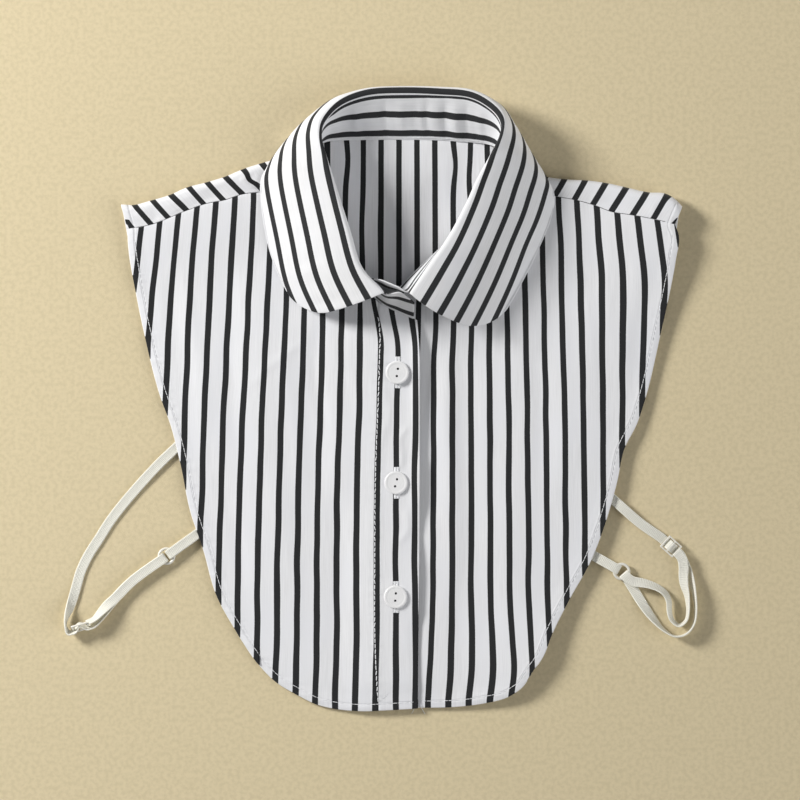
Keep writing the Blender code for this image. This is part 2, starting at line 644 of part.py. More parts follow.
def stretch(rows):
    """Evenly spaced points along a smooth stretch of elastic."""
    return spaced(rows, max(2, round(lengths(rows)[-1] / STRAP_STEP)))


def through_slider(centre, way, tilt):
    """The elastic's way under, over and under the bars of a slider."""
    side = Vector((0, 0, 1)) if tilt == 0 else Vector((way[1], -way[0], 0)) * (1 if tilt > 0 else -1)
    rows = []
    count = 14
    for k in range(count + 1):
        along = WEAVE_REACH * (2 * k / count - 1)
        half_pitch = (SLIDER_LENGTH - SLIDER_BAR) / 2
        phase = min(abs(along), half_pitch)
        lift = WEAVE * math.cos(math.pi * phase / half_pitch)
        place = Vector(centre) + Vector((*way, 0)) * along + side * lift
        rows.append((*place, tilt))
    return rows


def ring_turn(ring, way):
    """The elastic's turn over a ring's wire: in below, up through the hole and back above."""
    rows = []
    middle = Vector((*ring, RING_LEVEL)) + Vector((*way, 0)) * TURN_REACH
    for step in range(7):
        angle = math.pi * (-0.5 - step / 6)
        place = middle + Vector((*way, 0)) * TURN_RADIUS * math.cos(angle)
        rows.append((place.x, place.y, place.z + TURN_RADIUS * math.sin(angle), 0))
    return rows


def beside_slider(centre, way, tilt, along):
    side = Vector((0, 0, 1)) if tilt == 0 else Vector((way[1], -way[0], 0)) * (1 if tilt > 0 else -1)
    return (*(Vector(centre) + Vector((*way, 0)) * along + side * WEAVE), tilt)


def stacked(rows, apart):
    """The strand that lies on another one, apart from it at right angles to its face."""
    moved = []
    places = [Vector(row[:3]) for row in rows]
    for k, (row, place) in enumerate(zip(rows, places)):
        way = direction_at(places, k)
        way.z = 0
        level = Vector((0, 0, 1)).cross(way.normalized())
        tilt = math.radians(row[3])
        normal = Vector((0, 0, 1)) * math.cos(tilt) - level * math.sin(tilt)
        moved.append((*(place + normal * apart), row[3]))
    return moved


def left_strap_route():
    weave = through_slider(LEFT_SLIDER, LEFT_SLIDER_WAY, LEFT_SLIDER_TILT)
    turn = ring_turn(LEFT_RING, LEFT_RING_WAY)
    first = stretch(LEFT_TO_SLIDER + [weave[0]])
    lower = stretch([weave[-1]] + LEFT_TO_RING + [turn[0]])
    upper = stacked([weave[-1]] + LEFT_TO_RING + [turn[0]], 2 * TURN_RADIUS)
    upper[0] = beside_slider(LEFT_SLIDER, LEFT_SLIDER_WAY, LEFT_SLIDER_TILT, WEAVE_REACH)
    upper.insert(0, beside_slider(LEFT_SLIDER, LEFT_SLIDER_WAY, LEFT_SLIDER_TILT, 3.9))
    upper[-1] = turn[-1]
    return first[:-1] + weave + lower[1:-1] + turn + stretch(upper)[::-1][1:]


def right_strap_route():
    weave = through_slider(RIGHT_SLIDER, RIGHT_SLIDER_WAY, RIGHT_SLIDER_TILT)
    turn = ring_turn(RIGHT_RING, RIGHT_RING_WAY)
    first = stretch(RIGHT_TO_SLIDER + [weave[0]])
    outer = stretch([weave[-1]] + RIGHT_OUTER + [turn[0]])
    inner = stretch([turn[-1]] + RIGHT_INNER + [
        beside_slider(RIGHT_SLIDER, RIGHT_SLIDER_WAY, RIGHT_SLIDER_TILT, WEAVE_REACH),
        beside_slider(RIGHT_SLIDER, RIGHT_SLIDER_WAY, RIGHT_SLIDER_TILT, 3.9)])
    return first[:-1] + weave + outer[1:-1] + turn + inner[1:]


def make_tab(name, ring, way, length, finish):
    """A short band looped through the ring, both ends butted against the garment's edge."""
    turn = ring_turn(ring, way)
    end = Vector((*ring, 0)) + Vector((*way, 0)) * length
    low = (end.x, end.y, turn[0][2], 0)
    high = (end.x, end.y, FRONT_LOW + 0.6, 0)
    route = spaced([low, turn[0]], 3)[:-1] + turn + spaced([turn[-1], high], 3)[1:]
    return add_ribbon(name, route, finish)


def make_ring(name, ring, finish):
    shape = bmesh.new()
    wire = []
    for k in range(8):
        angle = math.tau * k / 8
        wire.append(shape.verts.new(((RING_RADIUS + RING_WIRE * math.cos(angle)) * MM, 0,
                                     RING_WIRE * math.sin(angle) * MM)))
    edges = [shape.edges.new((a, b)) for a, b in zip(wire, wire[1:] + wire[:1])]
    bmesh.ops.spin(shape, geom=wire + edges, axis=(0, 0, 1), cent=(0, 0, 0),
                   angle=math.tau, steps=28, use_duplicate=False)
    bmesh.ops.remove_doubles(shape, verts=shape.verts, dist=0.00001)
    bmesh.ops.recalc_face_normals(shape, faces=shape.faces)
    mesh = bpy.data.meshes.new(name)
    shape.to_mesh(mesh)
    shape.free()
    mesh.materials.append(finish)
    mesh.shade_smooth()
    made = bpy.data.objects.new(name, mesh)
    made.location = (ring[0] * MM, ring[1] * MM, RING_LEVEL * MM)
    bpy.context.collection.objects.link(made)
    return made


def make_slider(name, centre, way, tilt, finish):
    """A flat frame with two windows, from cells of a small grid."""
    half = SLIDER_LENGTH / 2
    wide = SLIDER_WIDTH / 2
    middle = SLIDER_BAR / 2
    cuts_long = [-half, -half + SLIDER_BAR, -middle, middle, half - SLIDER_BAR, half]
    cuts_wide = [-wide, -wide + SLIDER_RAIL, wide - SLIDER_RAIL, wide]
    shape = bmesh.new()
    corners = {}
    for i, along in enumerate(cuts_long):
        for j, across in enumerate(cuts_wide):
            corners[i, j] = shape.verts.new((along * MM, across * MM, -middle * MM))
    cells = []
    for i in range(len(cuts_long) - 1):
        for j in range(len(cuts_wide) - 1):
            if j == 1 and i in (1, 3):
                continue
            cells.append(shape.faces.new((corners[i, j], corners[i + 1, j],
                                          corners[i + 1, j + 1], corners[i, j + 1])))
    grown = bmesh.ops.extrude_face_region(shape, geom=cells, use_keep_orig=True)
    top = [item for item in grown["geom"] if isinstance(item, bmesh.types.BMVert)]
    bmesh.ops.translate(shape, verts=top, vec=(0, 0, SLIDER_BAR * MM))
    bmesh.ops.recalc_face_normals(shape, faces=shape.faces)
    mesh = bpy.data.meshes.new(name)
    shape.to_mesh(mesh)
    shape.free()
    mesh.materials.append(finish)
    made = bpy.data.objects.new(name, mesh)
    made.location = Vector(centre) * MM
    made.rotation_euler = (math.radians(-tilt), 0, math.atan2(way[1], way[0]))
    bpy.context.collection.objects.link(made)
    return made


def build():
    for old in list(bpy.data.objects):
        bpy.data.objects.remove(old)
    cloth = material("striped_cotton", (0.80, 0.81, 0.84), 0.85)
    collar = material("collar_cotton", (0.82, 0.83, 0.86), 0.82)
    plastic = material("button_plastic", (0.86, 0.86, 0.85), 0.35)
    elastic = material("elastic_band", (0.86, 0.84, 0.76), 0.8)
    fitting = material("coated_fitting", (0.84, 0.82, 0.76), 0.4)
    make_back(cloth)
    make_front_right(cloth)
    make_front_left(cloth)
    make_collar_stand(collar)
    make_collar_leaf(collar)
    for name, centre in BUTTONS.items():
        make_button(name, centre, plastic)
    make_tab("tab_left", LEFT_RING, LEFT_TAB_WAY, LEFT_TAB_LENGTH, elastic)
    make_tab("tab_right", RIGHT_RING, RIGHT_TAB_WAY, RIGHT_TAB_LENGTH, elastic)
    make_ring("ring_left", LEFT_RING, fitting)
    make_ring("ring_right", RIGHT_RING, fitting)
    make_slider("slider_left", LEFT_SLIDER, LEFT_SLIDER_WAY, LEFT_SLIDER_TILT, fitting)
    make_slider("slider_right", RIGHT_SLIDER, RIGHT_SLIDER_WAY, RIGHT_SLIDER_TILT, fitting)
    add_ribbon("strap_left", left_strap_route(), elastic)
    add_ribbon("strap_right", right_strap_route(), elastic)


build()
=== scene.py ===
"""The looks of a detachable striped shirt collar that lies flat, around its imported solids.

Places are in millimetres, seen from straight above: +X to the viewer's right, +Y towards the neck,
+Z up from the table. Meshes are made in metres. Left and right are as the viewer sees them.
"""
import math
import random
from collections import namedtuple

import bpy
import bmesh
import numpy as np
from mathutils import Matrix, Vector, noise
from mathutils.bvhtree import BVHTree


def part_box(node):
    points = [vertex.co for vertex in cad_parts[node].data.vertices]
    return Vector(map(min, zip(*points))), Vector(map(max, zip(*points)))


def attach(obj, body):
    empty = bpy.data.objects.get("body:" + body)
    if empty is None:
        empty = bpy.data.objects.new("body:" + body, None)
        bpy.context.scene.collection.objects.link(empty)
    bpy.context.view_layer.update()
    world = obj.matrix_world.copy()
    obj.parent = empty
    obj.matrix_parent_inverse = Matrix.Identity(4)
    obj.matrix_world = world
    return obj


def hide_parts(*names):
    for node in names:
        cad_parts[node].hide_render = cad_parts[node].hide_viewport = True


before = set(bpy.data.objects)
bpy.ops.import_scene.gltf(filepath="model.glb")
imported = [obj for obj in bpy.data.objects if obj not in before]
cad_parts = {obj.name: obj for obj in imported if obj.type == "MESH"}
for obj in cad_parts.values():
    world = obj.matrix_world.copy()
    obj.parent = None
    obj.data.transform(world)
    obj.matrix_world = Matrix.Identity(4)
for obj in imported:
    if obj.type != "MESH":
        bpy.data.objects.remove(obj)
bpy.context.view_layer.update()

MM = 0.001
CHANCE = random.Random(7)

# cloth, as thin as it looks, and the solids' clearances that its levels follow
WALL = 1.0
HALF_WALL = WALL / 2
SEAM_GAP = 0.35
LAYER = WALL + 0.55
SEAM_SETBACK = 0.5
SHELL = 0.46
HEM_SHELL = 0.86
BACK_HEM_SHELL = 0.72
HEM_WIDTH = 4.6
HEM_STITCH = 3.4
COLLAR_SHELL = 0.8

# heights of the cloth's middle above the table
TABLE_LEVEL = HALF_WALL
FRONT_LOW = 2.5
FRONT_LEAST = 1.95
SEAM_LEVEL = 5.4
NECK_LEVEL = 5.0
FOLD_TOP_ARM = 6.0
FOLD_TOP_NECK = 6.8
FOLD_START_LIFT = 0.04
SEAM_RISE_WIDTH = 50.0
NECK_RISE_WIDTH = 42.0
NECK_CENTRE = (4.0, 97.0)
NECK_RADII = (51.5, 50.0)

BAND_RELIEF = 0.4
LAP_START = -36.0
LAP_FULL = -18.5
UNDER_EDGE_X = -14.5

BACK_LIFT = 1.7
LIFT_START_Y = 106.0
LIFT_FULL_Y = 131.0
BACK_INSET = 1.4

ROLL_RADIUS = 2.2
LEAF_INNER = 1.3
LEAF_CORNER = 16.0
LEAF_WIDTH = 45.0
LEAF_CLEAR = WALL + 0.6
LEAF_SEAM_GAP = 0.5

BUTTON_HEIGHT = 2.2
HOLE_RADIUS = 0.68
HOLE_OFFSET = 2.05
BUTTONS = {
    "button_top": (-2.6, 14.8),
    "button_middle": (-3.3, -46.9),
    "button_bottom": (-3.6, -110.8),
}
BUTTONHOLE_LENGTH = 17.2
BUTTON_TURNS = {"button_top": 8.7, "button_middle": 15.0, "button_bottom": 5.0}

STRAP_WIDTH = 5.6
STRAP_THICK = 1.0
STRAP_STEP = 5.0
STRAP_REST = 0.05
RING_RADIUS = 4.2
RING_WIRE = 0.8
TURN_RADIUS = 1.4
TURN_REACH = 3.1
TURN_REACH_LEFT = 2.3
RING_LEVEL = 2.0
SLIDER_LENGTH = 9.6
SLIDER_WIDTH = 8.4
SLIDER_BAR = 1.1
SLIDER_RAIL = 0.9
WEAVE = 1.6
WEAVE_REACH = 6.6

# outlines: x, y
SIDE_LEFT = [(-153.2, 94.6), (-152.9, 88), (-148.1, 57.1), (-144.3, 38.6), (-134.2, -0.6),
             (-129.6, -13.1), (-123.9, -34.8), (-117.6, -64.6), (-111.3, -82.9), (-103.3, -110.3),
             (-90.7, -133.1)]
HEM_LEFT = [(-90.7, -133.1), (-80.4, -148), (-70.2, -158.3), (-58.8, -165.2), (-47.3, -170.8),
            (-37, -173.2), (-23.5, -174.4), (-7, -173.8), (8.6, -172.9)]
LAP_EDGE = [(8.3, 44), (9.4, 30), (9.7, 0), (9.6, -60), (9.1, -120), (8.6, -172.9)]
SIDE_RIGHT = [(152.2, 97.2), (154.2, 92), (152.7, 77.8), (149.3, 59.1), (144.8, 38.6), (134.9, -2.8),
              (131.4, -13.1), (124, -28), (120, -46.3), (114.2, -66.9), (105.2, -90.7),
              (93.7, -111.4), (83.4, -132), (78.9, -143.4), (72, -153.7)]
HEM_RIGHT = [(72, -153.7), (67.4, -160.6), (59.4, -166.3),
             (45.9, -170), (32.5, -171.8), (8, -172.4), (-6, -172), (-14.5, -171.6)]
FOLD_LEFT = [(-157, 109), (-150.6, 108.8), (-141, 111.2), (-130.1, 114.4), (-120.5, 118.6),
             (-109.5, 121.5), (-99.2, 124.6), (-88.9, 128.9), (-73.5, 133.7), (-49.4, 140)]
SEAM_LEFT = [(-153.2, 95.1), (-141, 97.3), (-121.1, 105.1), (-109.5, 109.2), (-99.2, 111.2),
             (-88.3, 114.7), (-80, 115.6), (-64, 118.5), (-49.8, 121)]
FOLD_RIGHT = [(156.6, 108), (152, 112.8), (147.3, 115.2), (138.3, 115.8), (127.4, 118.2),
              (115.9, 120.8), (104.9, 122.4), (93.4, 123), (80.5, 124.6), (69, 127.4), (59.8, 131)]
SEAM_RIGHT = [(152.2, 97.7), (140.9, 100.5), (128.7, 102.8), (117.2, 104.7), (106.8, 108.6),
              (96.5, 111.4), (85.7, 113.4), (70, 116), (54.6, 118.5)]

def table_rows(kind, rows):
    return [kind(*row) for row in rows]


# folds and creases: where each starts and ends, its half width and its height
Fold = namedtuple("Fold", "x0 y0 x1 y1 half_width height")
FOLDS = table_rows(Fold, [
    (-38, 52, -34, -70, 8, 1),
    (-86, 84, -72, -120, 15, 1.1),
    (-118, 78, -106, -20, 12, 0.8),
    (24, 34, 30, -130, 7, 0.9),
    (66, 60, 60, -120, 14, 1),
    (112, 80, 100, -60, 14, 0.9),
])
CREASES_LEFT = table_rows(Fold, [
    (-122, 74, -108, -34, 5, 0.45),
    (-100, 88, -90, -50, 4.5, -0.45),
    (-66, 40, -55, -70, 5.5, 0.50),
    (-49, 47, -44, -24, 3.6, -0.50),
    (-31, 46, -24, -4, 3.6, 0.45),
    (-56, 34, -88, 4, 3.4, 0.30),
    (-70, -40, -58, -150, 7, 0.40),
    (-102, -40, -84, -122, 4.5, -0.40),
    (-38, -52, -35, -158, 6, -0.40),
    (-137, 78, -131, 6, 4.5, 0.40),
])
CREASES_RIGHT = table_rows(Fold, [
    (15, 34, 17, -78, 4, -0.45),
    (27, 38, 26, -66, 4.5, 0.40),
    (44, 28, 50, -104, 6, 0.45),
    (74, 34, 80, -60, 5, -0.45),
    (92, 62, 88, -70, 6, 0.45),
    (110, 82, 112, -16, 4.5, -0.40),
    (132, 84, 124, 6, 5, 0.45),
    (60, -52, 56, -152, 7, 0.40),
    (32, -80, 34, -160, 5, -0.35),
    (84, 70, 70, 20, 5, 0.40),
])
CREASES_BACK = table_rows(Fold, [
    (-34, 150, -26, 70, 4, 0.35),
    (28, 150, 24, 60, 5, 0.35),
    (8, 140, 4, 20, 6, 0.30),
    (-70, 80, -60, -110, 9, 0.45),
    (60, 90, 66, -100, 9, 0.45),
    (0, 0, -6, -150, 9, 0.40),
])
CREASES_STRIP = table_rows(Fold, [
    (-93, 130, -80, 114, 1.8, 0.8),
    (-87, 130, -77, 114, 1.4, -0.6),
    (-150, 110, -141, 97, 2.4, 0.6),
    (-147, 112, -135, 98, 1.8, -0.4),
    (104, 122, 110, 108, 3, 0.4),
    (138, 116, 144, 99, 2.2, 0.5),
])
UNDULATION = 0.34
# how far the right front's hem, its corner and its arm end stand up, and how far the hem droops
RIGHT_HEM_LIFT = 1.7
CORNER_LIFT = 2.8
ARM_LIFT = 3.2
HEM_DROOP = 0.9
# how far the free edge of the lap stands up, by its height on the front
LAP_EDGE_LIFTS = [(-172, -0.2), (-156, -0.7), (-140, -0.9), (-126, -0.5), (-118, 0.7), (-100, 1),
                  (-90, 0.6), (-76, -0.5), (-66, 0.2), (-55, 1.8), (-38, 1.9), (-30, 1), (-22, 1.1),
                  (-5, 1.7), (5, 2.3), (30, 2.3), (40, 1), (46, 0)]
CREASES_BAND = table_rows(Fold, [
    (2.5, -14, -3.5, -42, 2, 0.55),
    (4.5, -62, -1, -84, 2.2, 0.40),
    (-8, 10, -10.5, -30, 2.4, 0.35),
])
PUCKER = 0.13

# collar sections from the left leaf tip, round the back, to the right leaf tip
Section = namedtuple("Section", "neck crest belly edge")
SECTIONS = table_rows(Section, [
    ((-9.5, 52.4, 7), (-9.9, 59.2, 28), (-36, 48.3, 25.5), (-55.5, 46, 4.6)),
    ((-26.5, 67.5, 6), (-23, 73.4, 28.3), (-48, 72, 25), (-66.2, 64.1, 4.6)),
    ((-38.5, 88, 5.2), (-29.6, 94.2, 28), (-56, 93.5, 24), (-74.6, 86, 4.8)),
    ((-46.4, 116, 6), (-38.4, 121.8, 27), (-62, 123.5, 22), (-79, 117, 7.4)),
    ((-47.8, 129.5, 7.2), (-42.6, 135.2, 26.3), (-63, 141, 21), (-75.2, 129.5, 8.6)),
    ((-47.2, 140, 5.6), (-45.7, 147, 25), (-60, 153, 15), (-66.8, 141.6, 2.6)),
    ((-42.6, 144, 3.8), (-44, 156.6, 22.5), (-54, 161.5, 9), (-56.5, 147, 0.5)),
    ((-34, 145, 3), (-34.4, 166.4, 19.5), (-41, 171.5, 3), (-40, 143.5, 0.5)),
    ((-18, 145.3, 2.5), (-19, 172.2, 16.6), (-21, 170.5, 0.6), (-21, 139.5, 0.5)),
    ((2, 145.4, 2.4), (1, 173.5, 15), (2, 169, 0.5), (2, 138.2, 0.5)),
    ((22, 144.9, 2.5), (21, 173, 15.8), (23, 170, 0.6), (25, 139.3, 0.5)),
    ((38.5, 143.8, 3), (38, 171.2, 18.4), (43, 171, 2.5), (44, 143.3, 0.5)),
    ((48.5, 142.6, 4), (50, 164.6, 21.5), (58, 165.5, 8), (59.5, 146.5, 0.5)),
    ((54.2, 139.4, 5.8), (56, 156.4, 24.2), (63, 157, 13), (65.5, 145.2, 0.8)),
    ((56.6, 132.5, 7), (55.2, 147.2, 26), (67.5, 148.5, 17.5), (71.6, 138.2, 2.8)),
    ((54.4, 124, 6.8), (49, 134.6, 27), (69, 136, 22), (81, 123, 8.4)),
    ((47, 110.5, 5.6), (42.2, 122, 27.6), (66, 121, 23), (85, 112.5, 7.4)),
    ((39, 98, 5.3), (36, 108, 28), (61, 104, 24), (82.6, 100, 6)),
    ((24.5, 86.5, 5), (26.2, 89.4, 28.3), (53, 84, 25), (76.6, 85, 4.8)),
    ((10.6, 74, 4.9), (16.2, 74.8, 28.3), (41, 64, 25.5), (66.5, 64.5, 4.6)),
    ((-0.8, 62.6, 5.6), (4.8, 58.7, 28), (25.2, 41.3, 25.5), (51.4, 38, 4.6)),
])
Rim = namedtuple("Rim", "neck rim")
LAP_TAB = table_rows(Rim, [
    ((-2.6, 48.9, 7.2), (-1.6, 59.2, 25)),
    ((2.6, 46.6, 7.2), (3, 56.8, 22.4)),
    ((6.2, 45.2, 7.6), (6.6, 53.6, 19.5)),
])
UNDER_TAB = table_rows(Rim, [
    ((-5, 58.2, 6), (-2, 62.2, 26)),
    ((-10, 58, 6), (-7.2, 64.4, 25.4)),
    ((-13.8, 60.6, 5.8), (-12, 66.2, 24.4)),
    ((-17.5, 64.5, 5.8), (-18, 67, 20.5)),
])

# straps: x, y, z of the elastic's middle and its tilt in degrees, 0 lying flat
LEFT_TO_SLIDER = [(-137.4, -37.8, 1.2, 0), (-146.8, -48, 0.8, 0),
                  (-156.2, -59, 0.7, 0), (-163.4, -68.4, 0.6, 0), (-169.6, -78.2, 0.6, 0),
                  (-175.9, -88.1, 0.6, 0), (-179.8, -96.4, 0.6, 0), (-182.6, -106.2, 0.8, -5),
                  (-185.4, -115.6, 1.8, -30), (-187.8, -122.6, 3.6, -70), (-188.2, -127.2, 4.2, -86)]
LEFT_SLIDER = (-180, -127.8, 4.3)
LEFT_SLIDER_WAY = (0.96, 0.28)
LEFT_SLIDER_TILT = -64
LEFT_TO_RING = [(-169.2, -123.4, 3.4, -56), (-165.2, -117.4, 1.9, -26), (-160.2, -111.2, 0.65, 0),
                (-151.5, -102.4, 0.6, 0), (-142.6, -95.6, 0.6, 0)]
LEFT_RING = (-131.8, -88)
LEFT_RING_WAY = (-0.8, -0.6)
LEFT_TAB_WAY = (0.81, 0.586)
LEFT_TAB_LENGTH = 20.5

RIGHT_TO_SLIDER = [(124.6, -62, 2.7, 0), (132.7, -69, 2, 0)]
RIGHT_SLIDER = (150.6, -82.6, 2.3)
RIGHT_SLIDER_WAY = (0.74, -0.673)
RIGHT_SLIDER_TILT = 0
RIGHT_OUTER = [(158.2, -92.4, 1.3, 14), (161.6, -101, 2.4, 48), (163.6, -109.5, 3.2, 72),
               (164.4, -117.6, 3.3, 82), (163.4, -125.6, 3.3, 86), (159, -131.6, 3.3, 88),
               (152.6, -132.8, 3.3, 86), (146.4, -129.2, 3.2, 76), (140.6, -123, 2.4, 48),
               (134.6, -114.6, 1.2, 18), (130.2, -107.4, 0.65, 0)]
RIGHT_INNER = [(130, -102.4, 3.6, 8), (135.4, -103, 3.6, 30), (141.4, -105, 3.4, 46),
               (146.6, -108, 3.3, 54), (149.2, -112.8, 3.2, 57), (149.8, -119.6, 3.2, 61),
               (151.9, -124.8, 3.2, 68), (155.8, -126.8, 3.3, 76), (159.2, -123.4, 3.4, 80),
               (160, -116.8, 3.4, 76), (159.2, -109, 3.5, 60), (157.4, -101.6, 3.9, 28),
               (157.6, -94.6, 4.1, 6)]
RIGHT_RING = (122.9, -96.6)
RIGHT_RING_WAY = (0.66, -0.75)
RIGHT_TAB_WAY = (-0.87, 0.493)
RIGHT_TAB_LENGTH = 17.9
# where the bands are sewn on, below the fronts' hems
LEFT_HEM_END = (-121.7, -22.8, 1.4, 0)
RIGHT_HEM_END = (113.8, -52.3, 1.4, 0)
TAB_TUCK = 4.5

# where the woven stripes run: for a height y, the x of some of the stripes, numbered outwards
LEFT_STRIPES = (-3, -2, -1, 0, 6, 9, 12)
LEFT_STRIPE_ROWS = [
    (-168.6, (7.5, -3.2, -15, -26.3, -93.4, -126, -159)),
    (-135, (7.5, -3.3, -14.1, -25.5, -92.2, -124.7, -157.7)),
    (-90.2, (7.1, -3.6, -14, -25.5, -91.8, -123.8, -156.8)),
    (-45.4, (7.2, -3.2, -13.7, -25.2, -90.4, -122.4, -155.7)),
    (-0.6, (7.6, -2.9, -12.5, -23.8, -88.8, -121.2, -154.6)),
    (21.8, (7.3, -2.2, -11.8, -23.5, -87.4, -120.1, -153.4)),
    (33, (6.9, -2.9, -11.9, -23.4, -86.8, -119.7, -152.9)),
    (44.2, (5.6, -5, -13.7, -23.2, -86.2, -119.3, -151.8)),
    (55.4, (4.2, -6.7, -16.1, -23.1, -85.7, -118.7, -150.9)),
    (66.6, (2.8, -8.4, -17.9, -22.9, -85.1, -118.2, -149.2)),
    (94.6, (0, -10.6, -20.2, -23.8, -83.7, -115.9, -145.9)),
    (111.4, (0, -10.6, -20.2, -23.8, -82.9, -114.2, -143.9)),
]
RIGHT_STRIPES = (-1, 0, 4, 8, 11, 13)
RIGHT_STRIPE_ROWS = [
    (-168.6, (5, 14.4, 60.8, 101.4, 131, 150.6)),
    (-152, (6, 15.3, 62.9, 102.4, 131.8, 151.4)),
    (-135, (6.7, 16.4, 61.9, 103, 132.7, 152.3)),
    (-105, (7.1, 17.3, 60.1, 102.6, 133.1, 152.7)),
    (-90.2, (7.3, 17.4, 60.3, 102.3, 133.3, 152.9)),
    (-45.4, (7.3, 17.6, 59.9, 101.9, 133.8, 154)),
    (-0.6, (7.6, 17.8, 59.6, 101.4, 134.4, 154.6)),
    (21.8, (8.1, 17.8, 59.1, 100.8, 134.7, 155.7)),
    (44.2, (9.2, 19.2, 58.8, 100.2, 135.5, 156.5)),
    (66.6, (9.5, 19.3, 58.2, 99.7, 135.8, 157.9)),
    (94.6, (9.5, 19.3, 58, 98.6, 132.4, 154.3)),
    (111.4, (9.5, 19.3, 57.7, 97.7, 130.5, 151.2)),
]
BACK_STRIPES = (-14, -7, -4, 0, 4, 5, 9, 14)
BACK_STRIPE_ROWS = [
    (-168.6, (-149.9, -75.8, -42.4, -1.7, 39.1, 49.6, 92.1, 146.5)),
    (55.4, (-149.9, -75.8, -42.4, -1.7, 39.1, 49.6, 92.1, 146.5)),
    (111.4, (-148.6, -77.3, -41.7, -1.7, 38.8, 48.4, 90.3, 147.8)),
    (139.4, (-148.6, -77.3, -41.7, -1.7, 38.5, 47.5, 90.3, 147.8)),
]
STRIP_SLANT_LEFT = -0.746
STRIP_SLANT_RIGHT = 0.567
STRIP_SHIFT_LEFT = 1.6
STRIP_SHIFT_RIGHT = -0.9
# where the back's stripes bulge sideways: x, y, how far, half width and half height
BACK_BULGES = [(-31, 134, 1.6, 5, 12), (29, 131, 1.8, 4, 10), (38, 122, -1.3, 4, 12),
               (-20, 96, -0.9, 6, 16)]
# the leaf: place along the collar, distance of its first stripe from the crest, and the pitch
LEAF_STRIPE_ROWS = [
    (0.00, 9.9, 11.4), (0.05, 5.2, 11), (0.10, 4.4, 10.3), (0.15, 2.6, 9.8), (0.20, 0.8, 9.2),
    (0.27, -1.2, 8.9), (0.38, -1.2, 9.3), (0.50, -1.6, 9.8), (0.62, -1.2, 9.4), (0.72, 0.3, 9.5),
    (0.79, 3.4, 9.7), (0.85, 4.6, 9.9), (0.90, 6, 10.2), (0.95, 7.4, 10.8), (1.00, 9, 11.3),
]
STAND_STRIPES = (3.8, 15.4)
STAND_RIM_STRIPES = (2.1, 1.3)
# soft upright creases of the stand at the back: place, half width and depth
STAND_CREASES = [(-36, 2.6, 0.5), (-24, 2.2, 0.6), (-8, 1.9, -0.8), (1, 2.6, 0.5), (9.5, 1.8, -0.4),
                 (15.7, 1.9, -0.9), (26, 2.2, -1), (32, 2, 0.6), (38, 1.6, -0.5), (45, 2, 0.5)]
STRIPE_PITCH = 10.6
STRIPE_HALF = 0.156
COLLAR_STRIPE_HALF = 0.166
STRIPE_DRIFT = 0.4

# how finely the pieces are divided
FINE = 8
SHOULDER_COLUMNS = 11
NECK_COLUMNS = 9
PANEL_ROWS = 20
BACK_ROWS = 15
BACK_FINE = 6
FOLD_STEPS = 14
STRIP_ROWS = 16
BACK_NECK_COLUMNS = 12
LEAF_COLUMNS = 230
STAND_ROWS = 18
ROLL_STEPS = 12
STRAP_FINE = 4


def mix(a, b, t):
    return tuple(p + (q - p) * t for p, q in zip(a, b))


def ease(value, start, end):
    """0 before start, 1 after end, and a smooth rise between them."""
    t = min(1.0, max(0.0, (value - start) / (end - start)))
    return t * t * (3 - 2 * t)


def bell(value):
    return math.exp(-value * value)


def lengths(rows):
    total = [0.0]
    for a, b in zip(rows, rows[1:]):
        total.append(total[-1] + math.dist(a[:3], b[:3]))
    return total


def curve_at(rows, knots, place):
    """The point at a place on the smooth curve that passes through the rows at their knots."""
    last = len(rows) - 1
    i = 0
    while i < last - 1 and place > knots[i + 1]:
        i += 1
    span = knots[i + 1] - knots[i]
    t = (place - knots[i]) / span

    def slope(k):
        if k == 0:
            return [(b - a) / (knots[1] - knots[0]) for a, b in zip(rows[0], rows[1])]
        if k == last:
            return [(b - a) / (knots[k] - knots[k - 1]) for a, b in zip(rows[k - 1], rows[k])]
        before = knots[k] - knots[k - 1]
        after = knots[k + 1] - knots[k]
        return [((c - b) / after * before + (b - a) / before * after) / (before + after)
                for a, b, c in zip(rows[k - 1], rows[k], rows[k + 1])]

    h00 = 2 * t ** 3 - 3 * t ** 2 + 1
    h10 = t ** 3 - 2 * t ** 2 + t
    h01 = 3 * t ** 2 - 2 * t ** 3
    h11 = t ** 3 - t ** 2
    return tuple(h00 * p + h10 * span * m + h01 * q + h11 * span * n
                 for p, m, q, n in zip(rows[i], slope(i), rows[i + 1], slope(i + 1)))


def spaced(rows, count):
    """count + 1 points evenly spaced along the smooth curve through the rows."""
    knots = lengths(rows)
    return [curve_at(rows, knots, knots[-1] * k / count) for k in range(count + 1)]


def height_on(rows, x):
    """The y of a left-to-right outline at x."""
    x = min(rows[-1][0], max(rows[0][0], x))
    for (x0, y0), (x1, y1) in zip(rows, rows[1:]):
        if x <= x1:
            return y0 + (y1 - y0) * (x - x0) / max(x1 - x0, 0.001)
    return rows[-1][1]


def moved_aside(rows, distance):
    """An outline moved to the left of its own direction."""
    moved = []
    for k, point in enumerate(rows):
        before = rows[max(k - 1, 0)]
        after = rows[min(k + 1, len(rows) - 1)]
        way = Vector((after[0] - before[0], after[1] - before[1])).normalized()
        moved.append((point[0] - way.y * distance, point[1] + way.x * distance))
    return moved


def fill_between(top, bottom, left, right):
    """Rows of points that fill the space between four edges, bottom row first."""
    across = len(top) - 1
    up = len(left) - 1
    rows = []
    for j in range(up + 1):
        v = j / up
        row = []
        for i in range(across + 1):
            u = i / across
            ends = mix(left[j], right[j], u)
            sides = mix(bottom[i], top[i], v)
            corners = mix(mix(bottom[0], bottom[-1], u), mix(top[0], top[-1], u), v)
            row.append(tuple(a + b - c for a, b, c in zip(ends, sides, corners)))
        rows.append(row)
    return rows


